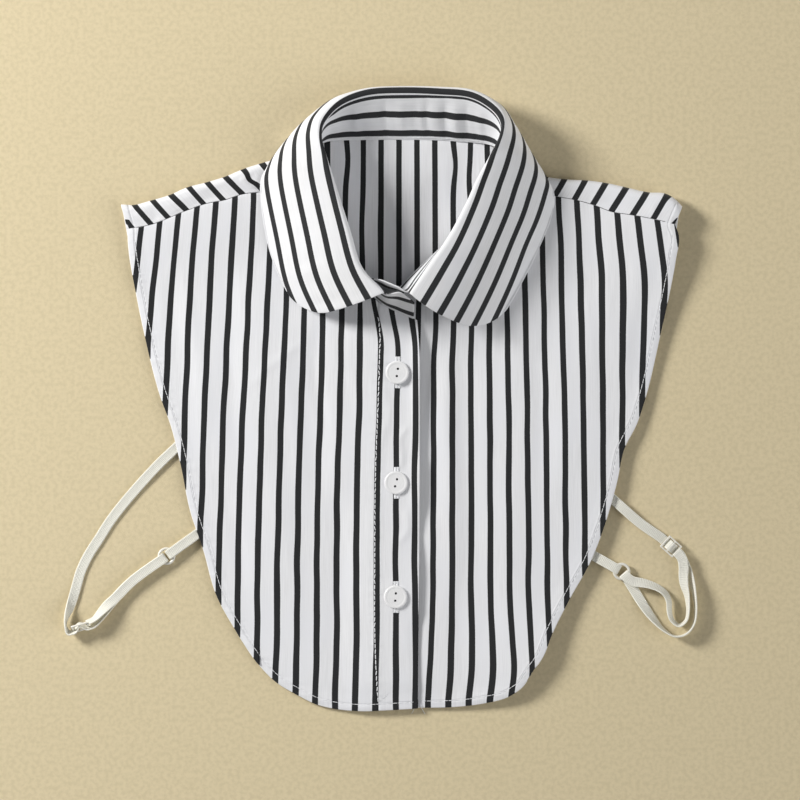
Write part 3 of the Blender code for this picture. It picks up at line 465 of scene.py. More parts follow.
SEAM_BOTH = sorted(SEAM_LEFT + SEAM_RIGHT)
FOLDS_BY_SIDE = [(sorted(SEAM_LEFT), sorted(FOLD_LEFT)), (sorted(SEAM_RIGHT), sorted(FOLD_RIGHT))]


def crease_height(folds, x, y, start=-0.05):
    total = 0.0
    for fold in folds:
        along = (fold.y0 - y) / (fold.y0 - fold.y1)
        if not -0.1 < along < 1.1:
            continue
        middle = fold.x0 + (fold.x1 - fold.x0) * along
        middle += 1.6 * math.sin(along * 7 + fold.x0)
        fade = ease(along, start, 0.2) * (1 - ease(along, 0.7, 1.05))
        total += fold.height * fade * bell((x - middle) / fold.half_width)
    return total


def fold_height(x, y):
    total = 0.0
    for fold in FOLDS:
        along = (fold.y0 - y) / (fold.y0 - fold.y1)
        middle = fold.x0 + (fold.x1 - fold.x0) * along
        fade = ease(along, -0.05, 0.2) * (1 - ease(along, 0.7, 1.05))
        total += fold.height * fade * bell((x - middle) / fold.half_width)
    return total


def arm_lift(x, y):
    """How far the viewer's right arm end stands up from lying flat."""
    return ARM_LIFT * ease(x, 100, 150) * ease(y, 5, 85)


def front_level(x, y):
    """Middle of a front that lies straight on the back."""
    seam_y = height_on(SEAM_BOTH, x)
    by_seam = 1 - ease(seam_y - y, 0, SEAM_RISE_WIDTH)
    reach = math.hypot((x - NECK_CENTRE[0]) / NECK_RADII[0], (y - NECK_CENTRE[1]) / NECK_RADII[1])
    by_neck = 1 - ease((reach - 1) * NECK_RADII[1], 0, NECK_RISE_WIDTH)
    rise = max((SEAM_LEVEL - FRONT_LOW) * by_seam, (NECK_LEVEL - FRONT_LOW) * by_neck)
    return max(FRONT_LEAST, FRONT_LOW + rise + fold_height(x, y) * (1 - max(by_seam, by_neck)))


def band_left(y):
    """The stitched left edge of the button band."""
    return -12.4 + (y - 22.0) * 0.0195


def lap_level(x, y):
    """Middle of the left front, which climbs over the right one at the button band."""
    lap = LAYER * ease(x, LAP_START, LAP_FULL)
    band = BAND_RELIEF * ease(x, band_left(y) - 1.5, band_left(y) + 1.5)
    return front_level(x, y) + lap + band


def back_level(x, y):
    across = 1 - ease(abs(x - 3.0), 46, 62)
    return TABLE_LEVEL + BACK_LIFT * ease(y, LIFT_START_Y, LIFT_FULL_Y) * across


def support_level(x, y):
    """The top of what lies below the leaf: a front, or the back's strip behind the seam."""
    for seam, fold in FOLDS_BY_SIDE:
        if not fold[0][0] <= x <= fold[-1][0]:
            continue
        seam_y = height_on(seam, x)
        fold_y = height_on(fold, x)
        near_neck = 1 - ease(abs(x - 3.0), 50, 150)
        top = FOLD_TOP_ARM + (FOLD_TOP_NECK - FOLD_TOP_ARM) * near_neck + HALF_WALL
        past = (y - fold_y) / (top / 2) + 1
        if past > 1:
            return 0.0
        if past > 0:
            return top / 2 + top / 2 * math.sqrt(1 - past ** 2)
        if y > seam_y:
            return top
    if y < height_on(SEAM_BOTH, x) + 1:
        return lap_level(x, y) + HALF_WALL if x < UNDER_EDGE_X + 25 else front_level(x, y) + HALF_WALL
    return 0.0


def undulation(x, y, seed):
    """Small unevenness of pressed cotton, longer along the warp than across it."""
    broad = noise.noise(Vector((x / 26, y / 60, seed)))
    fine = noise.noise(Vector((x / 9, y / 24, seed + 5)))
    return UNDULATION * (broad + 0.35 * fine)


# ---- materials

def new_material(name):
    made = bpy.data.materials.new(name)
    made.use_nodes = True
    tree = made.node_tree
    return made, tree, tree.nodes["Principled BSDF"]


class Wiring:
    """Short ways to add and join shader nodes."""

    def __init__(self, tree):
        self.tree = tree

    def node(self, kind, **settings):
        made = self.tree.nodes.new(kind)
        for key, value in settings.items():
            setattr(made, key, value)
        return made

    def put(self, socket, value):
        if hasattr(value, "is_output") or isinstance(value, bpy.types.NodeSocket):
            self.tree.links.new(value, socket)
        else:
            socket.default_value = value

    def attribute(self, name):
        return self.node("ShaderNodeAttribute", attribute_name=name).outputs["Fac"]

    def sum(self, operation, a, b=0.0, c=0.0):
        made = self.node("ShaderNodeMath", operation=operation)
        for socket, value in zip(made.inputs, (a, b, c)):
            self.put(socket, value)
        return made.outputs[0]

    def ramp(self, value, low, high, to_low=0.0, to_high=1.0):
        made = self.node("ShaderNodeMapRange", interpolation_type="SMOOTHSTEP")
        for name, item in (("Value", value), ("From Min", low), ("From Max", high),
                           ("To Min", to_low), ("To Max", to_high)):
            self.put(made.inputs[name], item)
        return made.outputs["Result"]

    def blend(self, amount, a, b):
        made = self.node("ShaderNodeMix", data_type="RGBA")
        self.put(made.inputs[0], amount)
        self.put(made.inputs[6], a)
        self.put(made.inputs[7], b)
        return made.outputs[2]

    def vector(self, x, y, z=0.0):
        made = self.node("ShaderNodeCombineXYZ")
        for socket, value in zip(made.inputs, (x, y, z)):
            self.put(socket, value)
        return made.outputs[0]

    def noise(self, vector, scale=1.0, detail=2.0, roughness=0.5):
        made = self.node("ShaderNodeTexNoise")
        for name, value in (("Vector", vector), ("Scale", scale), ("Detail", detail),
                            ("Roughness", roughness)):
            self.put(made.inputs[name], value)
        return made.outputs["Fac"]

    def bump(self, height, distance, strength=1.0, normal=None):
        made = self.node("ShaderNodeBump")
        self.put(made.inputs["Height"], height)
        self.put(made.inputs["Distance"], distance)
        self.put(made.inputs["Strength"], strength)
        if normal is not None:
            self.put(made.inputs["Normal"], normal)
        return made.outputs["Normal"]


def cloth_material(name, white, charcoal, roughness, stripe_half):
    """Striped poplin: woven charcoal stripes on white, with warp threads, slubs and hem puckers."""
    made, tree, shader = new_material(name)
    w = Wiring(tree)
    stripe = w.attribute("stripe")
    along = w.attribute("along")
    seam = w.attribute("seam")
    sewn = w.attribute("sewn")
    across = w.sum("MULTIPLY", stripe, STRIPE_PITCH)

    def woven(by_width, by_length, *settings):
        return w.noise(w.vector(w.sum("MULTIPLY", across, by_width), w.sum("MULTIPLY", along, by_length)),
                       1.0, *settings)

    # stripe mask with edges that waver by a thread
    edge_noise = woven(0.8, 1.6, 3.0)
    drift = woven(0.05, 0.03, 1.0)
    place = w.sum("ADD", stripe, w.sum("MULTIPLY_ADD", drift, 0.03, -0.015))
    from_centre = w.sum("ABSOLUTE", w.sum("SUBTRACT", w.sum("FRACT", w.sum("ADD", place, 0.5)), 0.5))
    wavering = w.sum("ADD", from_centre, w.sum("MULTIPLY_ADD", edge_noise, 0.016, -0.008))
    dark = w.ramp(wavering, stripe_half + 0.010, stripe_half - 0.010)

    # warp threads as faint streaks, broad tone drift and a few slubs
    streak = woven(2.2, 0.05, 3.0, 0.6)
    tone = woven(0.045, 0.02, 2.0)
    grain = woven(3.0, 3.0, 2.0)
    light = w.blend(w.ramp(streak, 0.35, 0.75), (*white, 1.0), (*[c * 0.90 for c in white], 1.0))
    light = w.blend(w.ramp(tone, 0.40, 0.70), light, (white[0] * 0.96, white[1] * 0.965, white[2] * 0.98, 1.0))
    worn = w.blend(w.ramp(grain, 0.42, 0.68), (*charcoal, 1.0), (*[c * 2.1 for c in charcoal], 1.0))
    worn = w.blend(w.ramp(streak, 0.45, 0.80, 0.0, 0.55), worn, (*[c * 1.9 for c in charcoal], 1.0))
    w.put(shader.inputs["Base Color"], w.blend(dark, light, worn))
    w.put(shader.inputs["Roughness"], w.ramp(grain, 0.2, 0.8, roughness - 0.05, roughness + 0.05))
    shader.inputs["Sheen Weight"].default_value = 0.12
    shader.inputs["Sheen Roughness"].default_value = 0.5
    shader.inputs["Specular IOR Level"].default_value = 0.25

    # weave, the groove along each row of stitches and the puckers beside it
    warp = w.sum("SINE", w.sum("MULTIPLY", across, 9.2))
    weft = w.sum("SINE", w.sum("MULTIPLY", along, 10.4))
    weave = w.sum("MULTIPLY", w.sum("MULTIPLY", warp, weft), 0.5)
    near = w.ramp(w.sum("ABSOLUTE", seam), 0.9, 0.15)
    folded = w.sum("MULTIPLY", w.ramp(seam, 0.35, -0.35), w.ramp(w.sum("ABSOLUTE", seam), 3.2, 0.6))
    puckers = w.noise(w.vector(w.sum("MULTIPLY", along, 0.34), w.sum("MULTIPLY", seam, 0.10)), 1.0, 2.0)
    pucker_reach = w.ramp(w.sum("ABSOLUTE", seam), 7.0, 0.5)
    relief = w.sum("MULTIPLY_ADD", near, -0.22, w.sum("MULTIPLY", folded, 0.16))
    relief = w.sum("MULTIPLY_ADD", w.sum("MULTIPLY", puckers, pucker_reach), 0.5, relief)
    relief = w.sum("MULTIPLY", relief, sewn)
    fine = w.bump(w.sum("MULTIPLY_ADD", weave, 0.03, w.sum("MULTIPLY", streak, 0.05)), MM, 0.55)
    w.put(shader.inputs["Normal"], w.bump(relief, MM, 0.8, fine))
    return made


def plain_material(name, colour, darker, roughness, grain_scale, bump, sheen=0.0):
    """Moulded, coated or spun surface: slight tone changes and a fine grain."""
    made, tree, shader = new_material(name)
    w = Wiring(tree)
    where = w.node("ShaderNodeTexCoord").outputs["Object"]
    tone = w.noise(where, grain_scale, 3.0)
    w.put(shader.inputs["Base Color"], w.blend(w.ramp(tone, 0.35, 0.7), (*colour, 1.0), (*darker, 1.0)))
    w.put(shader.inputs["Roughness"], w.ramp(tone, 0.3, 0.7, roughness - 0.06, roughness + 0.06))
    w.put(shader.inputs["Normal"], w.bump(w.noise(where, grain_scale * 6, 2.0), MM * bump, 0.4))
    if sheen:
        shader.inputs["Sheen Weight"].default_value = sheen
    return made


def elastic_material(name, colour):
    """Ribbed elastic: ribs across it, covered rubber threads along it and firmer edges."""
    made, tree, shader = new_material(name)
    w = Wiring(tree)
    across = w.attribute("across")
    along = w.attribute("along")
    ribs = w.sum("SINE", w.sum("MULTIPLY", along, 6.6))
    cords = w.sum("SINE", w.sum("MULTIPLY", across, 7.9))
    edge = w.ramp(w.sum("ABSOLUTE", across), 2.05, 2.45)
    spun = w.noise(w.vector(w.sum("MULTIPLY", across, 2.0), w.sum("MULTIPLY", along, 2.0)), 1.0, 3.0)
    shade = w.ramp(w.sum("ADD", w.sum("MULTIPLY", ribs, 0.3), spun), 0.1, 0.9)
    inner = w.blend(shade, (*[c * 0.90 for c in colour], 1.0), (*colour, 1.0))
    w.put(shader.inputs["Base Color"], w.blend(edge, inner, (*[min(1.0, c * 1.05) for c in colour], 1.0)))
    shader.inputs["Roughness"].default_value = 0.62
    shader.inputs["Sheen Weight"].default_value = 0.2
    relief = w.sum("MULTIPLY_ADD", ribs, 0.10, w.sum("MULTIPLY", cords, 0.07))
    relief = w.sum("MULTIPLY_ADD", edge, 0.12, relief)
    w.put(shader.inputs["Normal"], w.bump(relief, MM, 0.7))
    return made


COTTON = cloth_material("striped_cotton", (0.835, 0.838, 0.858), (0.012, 0.0125, 0.0135), 0.84, STRIPE_HALF)
COLLAR = cloth_material("collar_cotton", (0.81, 0.813, 0.83), (0.016, 0.0165, 0.018), 0.80,
                        COLLAR_STRIPE_HALF)
THREAD = plain_material("sewing_hole_shade_thread", (0.86, 0.865, 0.88), (0.80, 0.81, 0.84), 0.55, 900, 0.05, 0.2)
PLASTIC = plain_material("button_plastic", (0.86, 0.86, 0.865), (0.83, 0.83, 0.84), 0.30, 120, 0.02)
FITTING = plain_material("coated_fitting", (0.83, 0.81, 0.74), (0.78, 0.755, 0.67), 0.34, 200, 0.03)
# near-black painted shade: the colour of the short rods that fill the buttons' holes, so the holes look dark
SHADOWED = plain_material("hole_shadow", (0.03, 0.03, 0.032), (0.02, 0.02, 0.022), 0.9, 300, 0.02)
ELASTIC = elastic_material("elastic_band", (0.86, 0.845, 0.755))


# ---- meshes

def finish_piece(made, slot, *nodes):
    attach(made, "root")
    if nodes:
        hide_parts(*nodes)
    return made


def mesh_piece(name, points, faces, finish, attributes=None):
    """A smooth mesh from points in millimetres, with values at its points."""
    mesh = bpy.data.meshes.new(name)
    mesh.from_pydata([(x * MM, y * MM, z * MM) for x, y, z in points], [], faces)
    for key, values in (attributes or {}).items():
        layer = mesh.attributes.new(key, "FLOAT", "POINT")
        layer.data.foreach_set("value", np.asarray(values, dtype=np.float32))
    mesh.materials.append(finish)
    mesh.shade_smooth()
    made = bpy.data.objects.new(name, mesh)
    bpy.context.scene.collection.objects.link(made)
    return made


def grid_faces(rows, columns, start=0):
    """Faces of a grid whose rows of points follow each other, seen from above."""
    faces = []
    for j in range(rows - 1):
        for i in range(columns - 1):
            a = start + j * columns + i
            faces.append((a, a + 1, a + 1 + columns, a + columns))
    return faces


def shell(name, points, faces, thickness, finish, attributes):
    """A closed wall round a surface: its two faces and a rounded rim along its free edges."""
    middle = np.array(points, dtype=float)
    quads = np.array(faces)
    thick = np.broadcast_to(np.asarray(thickness, dtype=float), (len(middle),)) / 2
    diagonals = np.cross(middle[quads[:, 2]] - middle[quads[:, 0]], middle[quads[:, 3]] - middle[quads[:, 1]])
    normals = np.zeros_like(middle)
    for k in range(4):
        np.add.at(normals, quads[:, k], diagonals)
    normals /= np.maximum(np.linalg.norm(normals, axis=1, keepdims=True), 1e-9)

    edges = set()
    for face in faces:
        for a, b in zip(face, face[1:] + face[:1]):
            edges.discard((b, a)) if (b, a) in edges else edges.add((a, b))
    after = dict(edges)
    before = {b: a for a, b in edges}
    border = sorted(after)
    count = len(middle)
    top = middle + normals * thick[:, None]
    bottom = middle - normals * thick[:, None]
    rings = []
    for angle in (35, 90, 145):
        turn = math.radians(angle)
        ring = []
        for v in border:
            way = middle[after[v]] - middle[before[v]]
            out = np.cross(way, normals[v])
            out /= max(np.linalg.norm(out), 1e-9)
            ring.append(middle[v] + thick[v] * (normals[v] * math.cos(turn) + out * math.sin(turn)))
        rings.append(ring)
    place = {v: k for k, v in enumerate(border)}

    def index(level, v):
        if level == 0:
            return v
        if level == 4:
            return count + v
        return 2 * count + (level - 1) * len(border) + place[v]

    walls = [tuple(face) for face in faces]
    walls += [tuple(count + v for v in reversed(face)) for face in faces]
    for a, b in sorted(edges):
        for level in range(4):
            walls.append((index(level, b), index(level, a), index(level + 1, a), index(level + 1, b)))
    everything = np.concatenate([top, bottom, np.array(rings).reshape(-1, 3)])
    copied = {}
    far_off = np.clip((np.abs(attributes["seam"]) - 4.0) / 2.0, 0, 1)
    attributes = dict(attributes, sewn=1 - far_off)
    for key, values in attributes.items():
        values = np.asarray(values, dtype=float)
        copied[key] = np.concatenate([values, values] + [values[border]] * 3)
    return mesh_piece(name, everything.tolist(), walls, finish, copied)


def flat_list(rows):
    return [item for row in rows for item in row]


def distance_to(points, line):
    """Distance of each point from a broken line, seen from above."""
    points = np.array([p[:2] for p in points])
    best = np.full(len(points), 1e9)
    for a, b in zip(line, line[1:]):
        a, b = np.array(a[:2]), np.array(b[:2])
        step = b - a
        t = np.clip(((points - a) @ step) / max(step @ step, 1e-9), 0, 1)
        best = np.minimum(best, np.linalg.norm(points - a - t[:, None] * step, axis=1))
    return best


def stripe_lines(numbers, rows):
    """Fine tables of the x of each listed stripe against y."""
    heights = [row[0] for row in rows]
    ys = np.linspace(heights[0], heights[-1], 400)
    xs = np.array([curve_at([row[1] for row in rows], heights, y) for y in ys])
    order = np.argsort(xs[0])
    return ys, xs[:, order], np.array(numbers, dtype=float)[order]


def stripe_number(lines, x, y):
    """Which stripe runs at a place, whole numbers at their middles."""
    ys, table, numbers = lines
    k = min(len(ys) - 1, max(0, int((y - ys[0]) / (ys[1] - ys[0]))))
    t = min(1.0, max(0.0, (y - ys[k]) / (ys[1] - ys[0])))
    xs = table[k] if k == len(ys) - 1 else table[k] * (1 - t) + table[k + 1] * t
    i = min(len(xs) - 2, max(0, int(np.searchsorted(xs, x)) - 1))
    return numbers[i] + (numbers[i + 1] - numbers[i]) * (x - xs[i]) / (xs[i + 1] - xs[i])


LEFT_LINES = stripe_lines(LEFT_STRIPES, LEFT_STRIPE_ROWS)
RIGHT_LINES = stripe_lines(RIGHT_STRIPES, RIGHT_STRIPE_ROWS)
BACK_LINES = stripe_lines(BACK_STRIPES, BACK_STRIPE_ROWS)


# ---- camera, first, then the straps

camera_data = bpy.data.cameras.new("camera")
CAMERA_HEIGHT = 4.0
FRAME_WIDTH = 0.448
camera_data.sensor_width = 36.0
camera_data.lens = 36.0 * CAMERA_HEIGHT / FRAME_WIDTH
camera_data.clip_start = 0.1
camera_data.clip_end = 50.0
camera = bpy.data.objects.new("camera", camera_data)
camera.location = (-1.1 * MM, -0.6 * MM, CAMERA_HEIGHT)
bpy.context.scene.collection.objects.link(camera)
bpy.context.scene.camera = camera


def direction_at(places, k):
    """The mean direction of the steps before and after one of the places."""
    steps = [(b - a).normalized() for a, b in zip(places[max(k - 1, 0):], places[max(k - 1, 0) + 1:k + 2])]
    return sum(steps, Vector()).normalized()


def stretch(rows):
    """Evenly spaced points along a smooth stretch of elastic."""
    return spaced(rows, max(2, round(lengths(rows)[-1] / STRAP_STEP)))


def slider_side(way, tilt):
    turn = math.radians(tilt)
    return Vector((way[1] * math.sin(turn), -way[0] * math.sin(turn), math.cos(turn)))


def through_slider(centre, way, tilt):
    """The elastic's way under, over and under the bars of a slider."""
    side = slider_side(way, tilt)
    rows = []
    count = 14
    for k in range(count + 1):
        along = WEAVE_REACH * (2 * k / count - 1)
        half_pitch = (SLIDER_LENGTH - SLIDER_BAR) / 2
        phase = min(abs(along), half_pitch)
        lift = WEAVE * math.cos(math.pi * phase / half_pitch)
        place = Vector(centre) + Vector((*way, 0)) * along + side * lift
        rows.append((*place, tilt))
    return rows


def ring_turn(ring, way):
    """The elastic's turn over a ring's wire: in below, up through the hole and back above."""
    rows = []
    reach = TURN_REACH if ring[0] > 0 else TURN_REACH_LEFT
    middle = Vector((*ring, RING_LEVEL)) + Vector((*way, 0)) * reach
    for step in range(7):
        angle = math.pi * (-0.5 - step / 6)
        place = middle + Vector((*way, 0)) * TURN_RADIUS * math.cos(angle)
        rows.append((place.x, place.y, place.z + TURN_RADIUS * math.sin(angle), 0))
    return rows


def beside_slider(centre, way, tilt, along):
    return (*(Vector(centre) + Vector((*way, 0)) * along + slider_side(way, tilt) * WEAVE), tilt)


def stacked(rows, apart):
    """The strand that lies on another one, apart from it at right angles to its face."""
    moved = []
    places = [Vector(row[:3]) for row in rows]
    for k, (row, place) in enumerate(zip(rows, places)):
        way = direction_at(places, k)
        way.z = 0
        level = Vector((0, 0, 1)).cross(way.normalized())
        tilt = math.radians(row[3])
        normal = Vector((0, 0, 1)) * math.cos(tilt) - level * math.sin(tilt)
        moved.append((*(place + normal * apart), row[3]))
    return moved


def left_strap_route():
    weave = through_slider(LEFT_SLIDER, LEFT_SLIDER_WAY, LEFT_SLIDER_TILT)
    turn = ring_turn(LEFT_RING, LEFT_RING_WAY)
    first = stretch([LEFT_HEM_END] + LEFT_TO_SLIDER + [weave[0]])
    lower = stretch([weave[-1]] + LEFT_TO_RING + [turn[0]])
    upper = stacked([weave[-1]] + LEFT_TO_RING + [turn[0]], 2 * TURN_RADIUS)
    upper[0] = beside_slider(LEFT_SLIDER, LEFT_SLIDER_WAY, LEFT_SLIDER_TILT, WEAVE_REACH)
    upper.insert(0, beside_slider(LEFT_SLIDER, LEFT_SLIDER_WAY, LEFT_SLIDER_TILT, 3.9))
    upper[-1] = turn[-1]
    return first[:-1] + weave + lower[1:-1] + turn + stretch(upper)[::-1][1:]


def right_strap_route():
    weave = through_slider(RIGHT_SLIDER, RIGHT_SLIDER_WAY, RIGHT_SLIDER_TILT)
    turn = ring_turn(RIGHT_RING, RIGHT_RING_WAY)
    first = stretch([RIGHT_HEM_END] + RIGHT_TO_SLIDER + [weave[0]])
    outer = stretch([weave[-1]] + RIGHT_OUTER + [turn[0]])
    inner = stretch([turn[-1]] + RIGHT_INNER + [
        beside_slider(RIGHT_SLIDER, RIGHT_SLIDER_WAY, RIGHT_SLIDER_TILT, WEAVE_REACH),
        beside_slider(RIGHT_SLIDER, RIGHT_SLIDER_WAY, RIGHT_SLIDER_TILT, 3.9)])
    return first[:-1] + weave + outer[1:-1] + turn + inner[1:]


def tab_route(ring, way, length):
    turn = ring_turn(ring, way)
    end = Vector((*ring, 0)) + Vector((*way, 0)) * length
    inside = end + Vector((*way, 0)) * TAB_TUCK
    low = (end.x, end.y, turn[0][2], 0)
    before = (*mix(turn[-1][:2], end[:2], 0.6), 2.9, 0)
    high = (inside.x, inside.y, 1.5, 0)
    return spaced([low, turn[0]], 3)[:-1] + turn + spaced([turn[-1], before, high], 4)[1:]


def ribbon_sides(route):
    """Each place of a route with its direction and the way across the band, kept off the table."""
    places = [Vector(row[:3]) for row in route]
    level = None
    rows = []
    for k, place in enumerate(places):
        way = direction_at(places, k)
        plan = Vector((way.x, way.y, 0))
        if level is None or plan.length > 0.35:
            across = Vector((0, 0, 1)).cross(plan).normalized()
            if level is not None and across.dot(level) < 0:
                across = -across
            level = across
        tilt = math.radians(route[k][3])
        side = level * math.cos(tilt) + Vector((0, 0, 1)) * math.sin(tilt)
        side = (side - way * side.dot(way)).normalized()
        rest = STRAP_WIDTH / 2 * abs(side.z) + STRAP_THICK / 2 * math.sqrt(1 - side.z ** 2) + STRAP_REST
        place.z = max(place.z, rest)
        rows.append((*place, *side))
    return rows


# half of the band's section: how far across and how far out of its middle
BAND_SECTION = [(-2.80, 0.0), (-2.72, 0.28), (-2.42, 0.44), (-2.28, 0.40), (2.28, 0.40), (2.42, 0.44),
                (2.72, 0.28), (2.80, 0.0), (2.72, -0.28), (2.42, -0.44), (2.28, -0.40), (-2.28, -0.40),
                (-2.42, -0.44), (-2.72, -0.28)]


def band(name, route):
    """A flat elastic band along a route, smooth between the route's places."""
    rows = ribbon_sides(route)
    knots = lengths(rows)
    places = []
    for k in range(len(rows) - 1):
        for step in range(STRAP_FINE):
            places.append(curve_at(rows, knots, knots[k] + (knots[k + 1] - knots[k]) * step / STRAP_FINE))
    places.append(rows[-1])
    middles = [Vector(row[:3]) for row in places]
    far = lengths(places)
    points, across, along = [], [], []
    for k, row in enumerate(places):
        way = direction_at(middles, k)
        side = Vector(row[3:])
        side = (side - way * side.dot(way)).normalized()
        up = way.cross(side)
        for x, z in BAND_SECTION:
            points.append(tuple(middles[k] + side * x + up * z))
            across.append(x)
            along.append(far[k])
    around = len(BAND_SECTION)
    faces = []
    for k in range(len(places) - 1):
        for i in range(around):
            a, b = k * around + i, k * around + (i + 1) % around
            faces.append((a, b, b + around, a + around))
    faces.append(tuple(range(around))[::-1])
    faces.append(tuple(len(points) - around + i for i in range(around)))
    return mesh_piece(name, points, faces, ELASTIC, {"across": across, "along": along})


def ring(name, centre):
    around, across = 56, 14
    points = []
    for k in range(around):
        a = math.tau * k / around
        for i in range(across):
            b = math.tau * i / across
            reach = RING_RADIUS + RING_WIRE * math.cos(b)
            points.append((centre[0] + reach * math.cos(a), centre[1] + reach * math.sin(a),
                           RING_LEVEL + RING_WIRE * math.sin(b)))
    faces = []
    for k in range(around):
        for i in range(across):
            a, b = k * across, (k + 1) % around * across
            j = (i + 1) % across
            faces.append((a + i, b + i, b + j, a + j))
    return mesh_piece(name, points, faces, FITTING)


def rod(points, radius, sides=10):
    """Points and faces of a closed round rod through places, its ends rounded."""
    places = [Vector(p) for p in points]
    made, faces = [], []
    rings = []
    up = Vector((0, 0, 1))
    for k, place in enumerate(places):
        way = direction_at(places, k)
        side = way.cross(up)
        if side.length < 0.1:
            side = way.cross(Vector((1, 0, 0)))
        side.normalize()
        rings.append((place, way, side, way.cross(side)))
    full = []
    first, last = rings[0], rings[-1]
    for share, size in ((-0.9, 0.35), (-0.55, 0.8)):
        full.append((first[0] + first[1] * radius * share, first[2], first[3], radius * size))
    full += [(place, side, other, radius) for place, _, side, other in rings]
    for share, size in ((0.55, 0.8), (0.9, 0.35)):
        full.append((last[0] + last[1] * radius * share, last[2], last[3], radius * size))
    for place, side, other, size in full:
        for i in range(sides):
            a = math.tau * i / sides
            made.append(tuple(place + side * size * math.cos(a) + other * size * math.sin(a)))
    for k in range(len(full) - 1):
        for i in range(sides):
            a, b = k * sides + i, k * sides + (i + 1) % sides
            faces.append((a, b, b + sides, a + sides))
    faces.append(tuple(range(sides))[::-1])
    faces.append(tuple(len(made) - sides + i for i in range(sides)))
    return made, faces


def joined(name, parts, finish):
    """One mesh of several lots of points and faces."""
    points, faces = [], []
    for some_points, some_faces in parts:
        start = len(points)
        points += some_points
        faces += [tuple(start + v for v in face) for face in some_faces]
    return mesh_piece(name, points, faces, finish)


def slider(name, centre, way, tilt):
    """A frame of round-edged bars and rails with two windows."""
    half = SLIDER_LENGTH / 2
    wide = SLIDER_WIDTH / 2
    middle = SLIDER_BAR / 2
    shape = bmesh.new()
    cuts_long = [-half, -half + SLIDER_BAR, -middle, middle, half - SLIDER_BAR, half]
    cuts_wide = [-wide, -wide + SLIDER_RAIL, wide - SLIDER_RAIL, wide]
    corners = {}
    for i, along in enumerate(cuts_long):
        for j, across in enumerate(cuts_wide):
            corners[i, j] = shape.verts.new((along * MM, across * MM, -middle * MM))
    cells = []
    for i in range(5):
        for j in range(3):
            if j == 1 and i in (1, 3):
                continue
            cells.append(shape.faces.new((corners[i, j], corners[i + 1, j],
                                          corners[i + 1, j + 1], corners[i, j + 1])))
    grown = bmesh.ops.extrude_face_region(shape, geom=cells, use_keep_orig=True)
    top = [item for item in grown["geom"] if isinstance(item, bmesh.types.BMVert)]
    bmesh.ops.translate(shape, verts=top, vec=(0, 0, SLIDER_BAR * MM))
    bmesh.ops.recalc_face_normals(shape, faces=shape.faces)
    sharp = [e for e in shape.edges if e.calc_face_angle(0) > 0.5]
    bmesh.ops.bevel(shape, geom=sharp, offset=0.34 * MM, segments=3, affect="EDGES", profile=0.5)
    mesh = bpy.data.meshes.new(name)
    shape.to_mesh(mesh)
    shape.free()
    made = bpy.data.objects.new(name, mesh)
    made.location = Vector(centre) * MM
    made.rotation_euler = (math.radians(-tilt), 0, math.atan2(way[1], way[0]))
    bpy.context.scene.collection.objects.link(made)
    bpy.context.view_layer.update()
    mesh.transform(made.matrix_world)
    made.location = (0, 0, 0)
    made.rotation_euler = (0, 0, 0)
    mesh.materials.append(FITTING)
    mesh.shade_smooth()
    return made


def metres(route):
    return [tuple(c * MM for c in row[:3]) for row in ribbon_sides(route)]


for side, route, ring_centre, slider_place, tab in (
        ("left", left_strap_route(), LEFT_RING, (LEFT_SLIDER, LEFT_SLIDER_WAY, LEFT_SLIDER_TILT),
         tab_route(LEFT_RING, LEFT_TAB_WAY, LEFT_TAB_LENGTH)),
        ("right", right_strap_route(), RIGHT_RING, (RIGHT_SLIDER, RIGHT_SLIDER_WAY, RIGHT_SLIDER_TILT),
         tab_route(RIGHT_RING, RIGHT_TAB_WAY, RIGHT_TAB_LENGTH))):
    strap_piece = finish_piece(band("strap_cord_" + side, route), "elastic_band", "strap_" + side)
    ring_piece = finish_piece(ring("round_ring_" + side, ring_centre), "coated_fitting", "ring_" + side)
    slider_piece = finish_piece(slider("strap_slider_" + side, *slider_place), "coated_fitting",
                                "slider_" + side)
    finish_piece(band("ring_tab_" + side, tab), "elastic_band", "tab_" + side)
    path = metres(route)


# ---- cloth

def signed_nearest(options):
    """Of several signed distances at each point, the one nearest to zero."""
    stack = np.array(options)
    pick = np.argmin(np.abs(stack), axis=0)
    return np.clip(stack[pick, np.arange(stack.shape[1])], -9, 9)


def hem_thickness(edge_distance):
    return np.where(edge_distance < HEM_WIDTH, HEM_SHELL, SHELL)


def puckered(seam, along):
    """Small ripples beside a row of stitches."""
    return PUCKER * math.sin(along * 1.05 + 2 * math.sin(along * 0.21)) * bell(seam / 4.0)


def front_left_height(x, y, seam):
    lift = float(np.interp(y, *zip(*LAP_EDGE_LIFTS)))
    lift = lift * bell((x - 11.0) / 5.0) + crease_height(CREASES_BAND, x, y) * ease(x, -14, -11)
    near_lap = 1 - 0.75 * ease(x, -34, -20)
    band_free = 1 - ease(y, 44, 60)
    settle = 0.0
    for bx, by in BUTTONS.values():
        settle += 0.5 * bell((math.hypot(x - bx, y - by) / 8.5) ** 2)
    if x > -80:
        lift -= HEM_DROOP * (1 - ease(y - height_on(HEM_LEFT, x), 0, 16)) * (1 + 0.5 * ease(x, -34, -18))
    return (lap_level(x, y) + lift + near_lap * (crease_height(CREASES_LEFT, x, y) + undulation(x, y, 1))
            + puckered(seam, y) * band_free + settle * ease(x, -16, -8))


